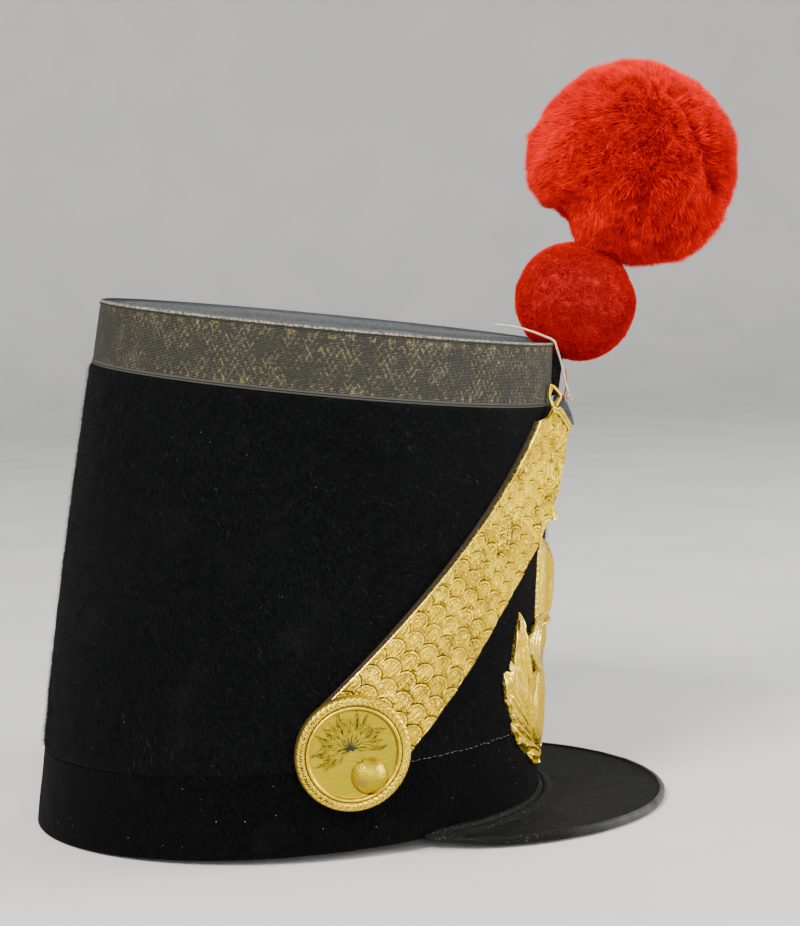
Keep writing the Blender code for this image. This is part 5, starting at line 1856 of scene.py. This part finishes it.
# Radius of the large pompom by the angle in the picture, from its right, anticlockwise.
LARGE_RADII = [(0, 1.0), (15, 1.01), (30, 0.985), (45, 0.98), (60, 0.966), (75, 0.966),
               (90, 0.98), (105, 0.975), (120, 0.975), (135, 0.965), (150, 0.98), (165, 1.01),
               (180, 1.015), (195, 1.0), (204, 0.95), (212, 0.84), (222, 0.82), (231, 0.90),
               (240, 0.96), (255, 0.95), (265, 0.965), (275, 0.98), (285, 1.01),
               (295, 1.055), (305, 1.06), (315, 1.035), (325, 1.02), (335, 1.025),
               (345, 1.015), (360, 1.0)]
SMALL_RADII = [(0, 1.0), (20, 0.955), (60, 0.98), (100, 0.99), (130, 1.02), (170, 1.02),
               (200, 1.0), (260, 0.97), (290, 1.01), (330, 0.99), (360, 1.0)]
# (right, up) in the picture down the parting in the large pompom's wool
PARTING = [(0.30, 0.62), (0.44, 0.40), (0.56, 0.13), (0.66, -0.18), (0.70, -0.36)]
SMALL_CENTRE, SMALL_RADIUS = np.array([0, -133.2, 199.9]), 25.2
LARGE_CENTRE, LARGE_RADIUS = np.array([0, -159.4, 254.9]), 43.4
TUFTS = 3000


def picture_axes():
    """The picture's right, up and toward-camera directions, as the unseated hat has them."""
    untilt = Matrix.Rotation(-SEAT_TILT, 3, "X")
    return [np.array(untilt @ axis)
            for axis in (PICTURE_RIGHT, PICTURE_UP, PICTURE_RIGHT.cross(PICTURE_UP))]


def spread_directions(count, seed, jitter):
    rng = np.random.default_rng(seed)
    z = 1 - 2 * (np.arange(count) + 0.5) / count
    turn = np.pi * (3 - math.sqrt(5)) * np.arange(count)
    reach = np.sqrt(1 - z * z)
    flat = np.stack([reach * np.cos(turn), reach * np.sin(turn), z], -1)
    return unit(flat + rng.normal(size=flat.shape) * jitter)


def ball_form(directions, radii, parting):
    """Share of the radius that the wool reaches in each direction."""
    right, up, back = picture_axes()
    x, y, z = directions @ right, directions @ up, directions @ back
    angle = np.degrees(np.arctan2(y, x)) % 360
    table = np.array(radii)
    share = np.interp(angle, table[:, 0], table[:, 1])
    weight = step((np.hypot(x, y) - 0.25) / 0.7)
    form = 1 + (share - 1) * weight
    if parting:
        line = smooth_path([(a, b, 0) for a, b in PARTING], 40)[:, :2]
        near = np.min(np.hypot(x[:, None] - line[:, 0], y[:, None] - line[:, 1]), axis=1)
        form -= 0.16 * np.exp(-(near / 0.055) ** 2) * (z > 0)
        form -= 0.05 * np.exp(-((x - 0.05) ** 2 + (y + 0.12) ** 2) / 0.09) * (z > 0)
    return form


def wool_core(name, centre, radius, reach, keep, tone):
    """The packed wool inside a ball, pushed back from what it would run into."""
    deselect()
    bpy.ops.mesh.primitive_ico_sphere_add(subdivisions=5, radius=1.0)
    core = added(name + "_core")
    directions = unit(points_of(core))
    points = centre + directions * (radius * reach(directions))[:, None]
    for _ in range(24):
        inside = keep(points) < 0.6
        points = np.where(inside[:, None], centre + (points - centre) * 0.97, points)
    finish(placed(core, points), wool_core_material(name + "_core", tone), (), 60)


def tuft_forms():
    """Each tuft's direction, the way its fibres lean, its height and its painted light: lighter
    toward the upper left and darker in the middle that faces the camera.
    """
    right, up, back = picture_axes()
    tufts = spread_directions(TUFTS, 3, 0.6 / math.sqrt(TUFTS))
    rng = np.random.default_rng(190)
    flow = np.stack([ripple(tufts, 0.75, 14 + i) for i in range(3)], -1)
    flow = flow * 0.35 + rng.normal(size=tufts.shape) * 0.5 - up * 0.55 - right * 0.45
    flow = flow - (flow * tufts).sum(1)[:, None] * tufts
    tall = ripple(tufts, 0.5, 9) * 0.5 + rng.normal(size=TUFTS) * 0.55
    # painted light toward the upper left, and painted shade in the middle facing the camera
    lit = tufts @ (up * 0.26 - right * 0.20) - 0.26 * np.exp(
        -((tufts @ right - 0.10) ** 2 + (tufts @ up - 0.02) ** 2) / 0.20) * (tufts @ back > 0)
    glow = np.clip(0.50 + lit + 0.10 * ripple(tufts, 0.4, 13)
                   + rng.normal(size=TUFTS) * 0.15, 0, 1)
    return tufts, flow, tall, glow


def wool_ball(name, centre, radius, radii, layers, parting, shag, keep, tone):
    """A core of packed wool under layers of fibres that gather in tufts. A layer tells
    whether its fibres bend and how many there are, and shag how deep the fibres show, how
    far the tufts lean and how far their fibres part."""
    depth, lean_far, part = shag
    hat = sizes()
    material = wool_material(name + "_wool", tone, 0.8)

    def core_reach(directions):
        return ((1 - depth * 1.15) * ball_form(directions, radii, parting)
                + depth * 0.16 * ripple(directions, 0.16, 7))

    wool_core(name, centre, radius, core_reach, keep, tone)
    tufts, flow, tall, glow = tuft_forms()
    for layer, (bends, share) in enumerate(layers):
        rng = np.random.default_rng(200 + layer)
        count = int(hat.wool_count * share)
        outward = spread_directions(count, 300 + layer, 0.012)
        nearest = np.concatenate([np.argmax(some @ tufts.T, axis=1)
                                  for some in np.array_split(outward, 60)])
        shift = rng.normal(size=outward.shape) * depth * 0.35
        crown = unit(tufts[nearest] + flow[nearest] * lean_far)
        bent = unit(outward * (1 - part) + crown * part + flow[nearest] * lean_far * 0.35
                    + shift)
        stray = np.where(rng.uniform(size=count) < 0.012, rng.uniform(0, depth * 0.3, count), 0)
        size = ball_form(bent, radii, parting) + tall[nearest] * depth * 0.20 + stray
        size = size * (1 - depth * rng.uniform(0.0, 0.32, count) ** 1.5)
        start = 1 - depth * rng.uniform(1.0, 1.6, count)
        roots, middles, tips = [
            centre + way * (radius * far)[:, None] for way, far in (
                (outward, start * size),
                (unit(outward + bent), (start * 0.4 + 0.6) * size), (bent, size))]
        clear = (keep(tips) > 0) & (keep(middles) > 0)
        shade = np.clip(glow[nearest] + rng.normal(size=count) * 0.16, 0, 1)
        wool = fibres(name + "_wool_%d" % (layer + 1), roots[clear],
                      middles[clear] if bends else None, tips[clear], hat.wool_width / MM,
                      shade[clear], 400 + layer)
        finish(wool, material, (name,) if layer == 0 else ())


def wool_core_material(name, tone):
    r = Recipe(name)
    pack = r.noise(1500.0, 4.0, 0.7)
    deep = toned(tone, (0.40, 0.20, 0.3))
    base = r.mix(pack.rise(0.3, 0.65), deep, toned(tone, 0.9))
    return r.surface(Base_Color=base, Roughness=0.95, Normal=r.bump(pack, 0.001, 0.9))


def build_pompoms():
    """The two wool balls on their wire."""
    form = block()
    tone = colours().wool

    def off_hat(points):
        """Clearance from the top of the hat."""
        angle = np.degrees(np.arctan2(points[:, 0],
                                      -points[:, 1] - form.centre(points[:, 2])))
        return np.maximum(form.stand_off(points), points[:, 2] - form.rim(angle))

    def off_small(points):
        return np.linalg.norm(points - SMALL_CENTRE, axis=1) - SMALL_RADIUS * 0.90

    wool_ball("pompom_small", SMALL_CENTRE, SMALL_RADIUS, SMALL_RADII, [(False, 2.0)], False,
              (0.045, 0.0, 0.0), off_hat, toned(tone, (0.78, 0.4, 0.6)))
    wool_ball("pompom_large", LARGE_CENTRE, LARGE_RADIUS, LARGE_RADII,
              [(True, 1.0), (False, 3.0)], True, (0.115, 0.115, 0.30), off_small, tone)


# ---- operators --------

class SHAKO_OT_stage(Operator):
    """Set the floor, the lights and the camera"""
    bl_idname = "shako.stage"
    bl_label = "Studio"

    def execute(self, context):
        build_camera()
        build_stage()
        return {"FINISHED"}


class SHAKO_OT_string(Operator):
    """Lay the tie string and its knot"""
    bl_idname = "shako.string"
    bl_label = "Tie String"

    def execute(self, context):
        build_string()
        return {"FINISHED"}


class SHAKO_OT_body(Operator):
    """Stretch the felt body and its crown"""
    bl_idname = "shako.body"
    bl_label = "Felt Body"

    def execute(self, context):
        build_body()
        build_nap()
        build_crown()
        return {"FINISHED"}


class SHAKO_OT_bands(Operator):
    """Sew on the lace and the velvet"""
    bl_idname = "shako.bands"
    bl_label = "Bands"

    def execute(self, context):
        build_lace()
        build_velvet()
        build_stitches()
        return {"FINISHED"}


class SHAKO_OT_peak(Operator):
    """Press the leather peak"""
    bl_idname = "shako.peak"
    bl_label = "Peak"

    def execute(self, context):
        build_peak()
        return {"FINISHED"}


class SHAKO_OT_scales(Operator):
    """Lay the chin scales on their lining"""
    bl_idname = "shako.scales"
    bl_label = "Chin Scales"

    def execute(self, context):
        build_scales()
        return {"FINISHED"}


class SHAKO_OT_rosettes(Operator):
    """Strike the two rosettes"""
    bl_idname = "shako.rosettes"
    bl_label = "Rosettes"

    def execute(self, context):
        build_rosettes()
        return {"FINISHED"}


class SHAKO_OT_plate(Operator):
    """Cast the front plate, its loop and its button"""
    bl_idname = "shako.plate"
    bl_label = "Front Plate"

    def execute(self, context):
        build_plate()
        build_loop()
        return {"FINISHED"}


class SHAKO_OT_hook(Operator):
    """Bend the rings and fit the tab and the socket"""
    bl_idname = "shako.hook"
    bl_label = "Hook and Socket"

    def execute(self, context):
        build_hook()
        return {"FINISHED"}


class SHAKO_OT_pompoms(Operator):
    """Bind the wool pompoms"""
    bl_idname = "shako.pompoms"
    bl_label = "Pompoms"

    def execute(self, context):
        build_pompoms()
        return {"FINISHED"}


STEPS = (SHAKO_OT_stage, SHAKO_OT_string, SHAKO_OT_body, SHAKO_OT_bands, SHAKO_OT_peak,
         SHAKO_OT_scales, SHAKO_OT_rosettes, SHAKO_OT_plate, SHAKO_OT_hook, SHAKO_OT_pompoms)


class SHAKO_PT_panel(Panel):
    """The hat's sizes, colours and pieces"""
    bl_idname = "SHAKO_PT_panel"
    bl_label = "Shako Hat"
    bl_space_type = "VIEW_3D"
    bl_region_type = "UI"
    bl_category = "Shako"

    def draw(self, context):
        for group in (context.scene.shako_sizes, context.scene.shako_colours):
            box = self.layout.box()
            for name in group.__annotations__:
                box.prop(group, name)
        for action in STEPS:
            self.layout.operator(action.bl_idname)


CLASSES = (ShakoSizes, ShakoColours, *STEPS, SHAKO_PT_panel)


def register():
    for item in CLASSES:
        bpy.utils.register_class(item)
    bpy.types.Scene.shako_sizes = bpy.props.PointerProperty(type=ShakoSizes)
    bpy.types.Scene.shako_colours = bpy.props.PointerProperty(type=ShakoColours)


def unregister():
    del bpy.types.Scene.shako_colours
    del bpy.types.Scene.shako_sizes
    for item in reversed(CLASSES):
        bpy.utils.unregister_class(item)


def main():
    register()
    bpy.ops.shako.stage()
    bpy.ops.shako.string()
    bpy.ops.shako.body()
    bpy.ops.shako.bands()
    bpy.ops.shako.peak()
    bpy.ops.shako.scales()
    bpy.ops.shako.rosettes()
    bpy.ops.shako.plate()
    bpy.ops.shako.hook()
    bpy.ops.shako.pompoms()
    boxes = {"cad": CAD_BOX, "visual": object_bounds()}
    plain = {name: [[float(v) for v in corner] for corner in box]
             for name, box in boxes.items()}


if __name__ == "__main__":
    main()
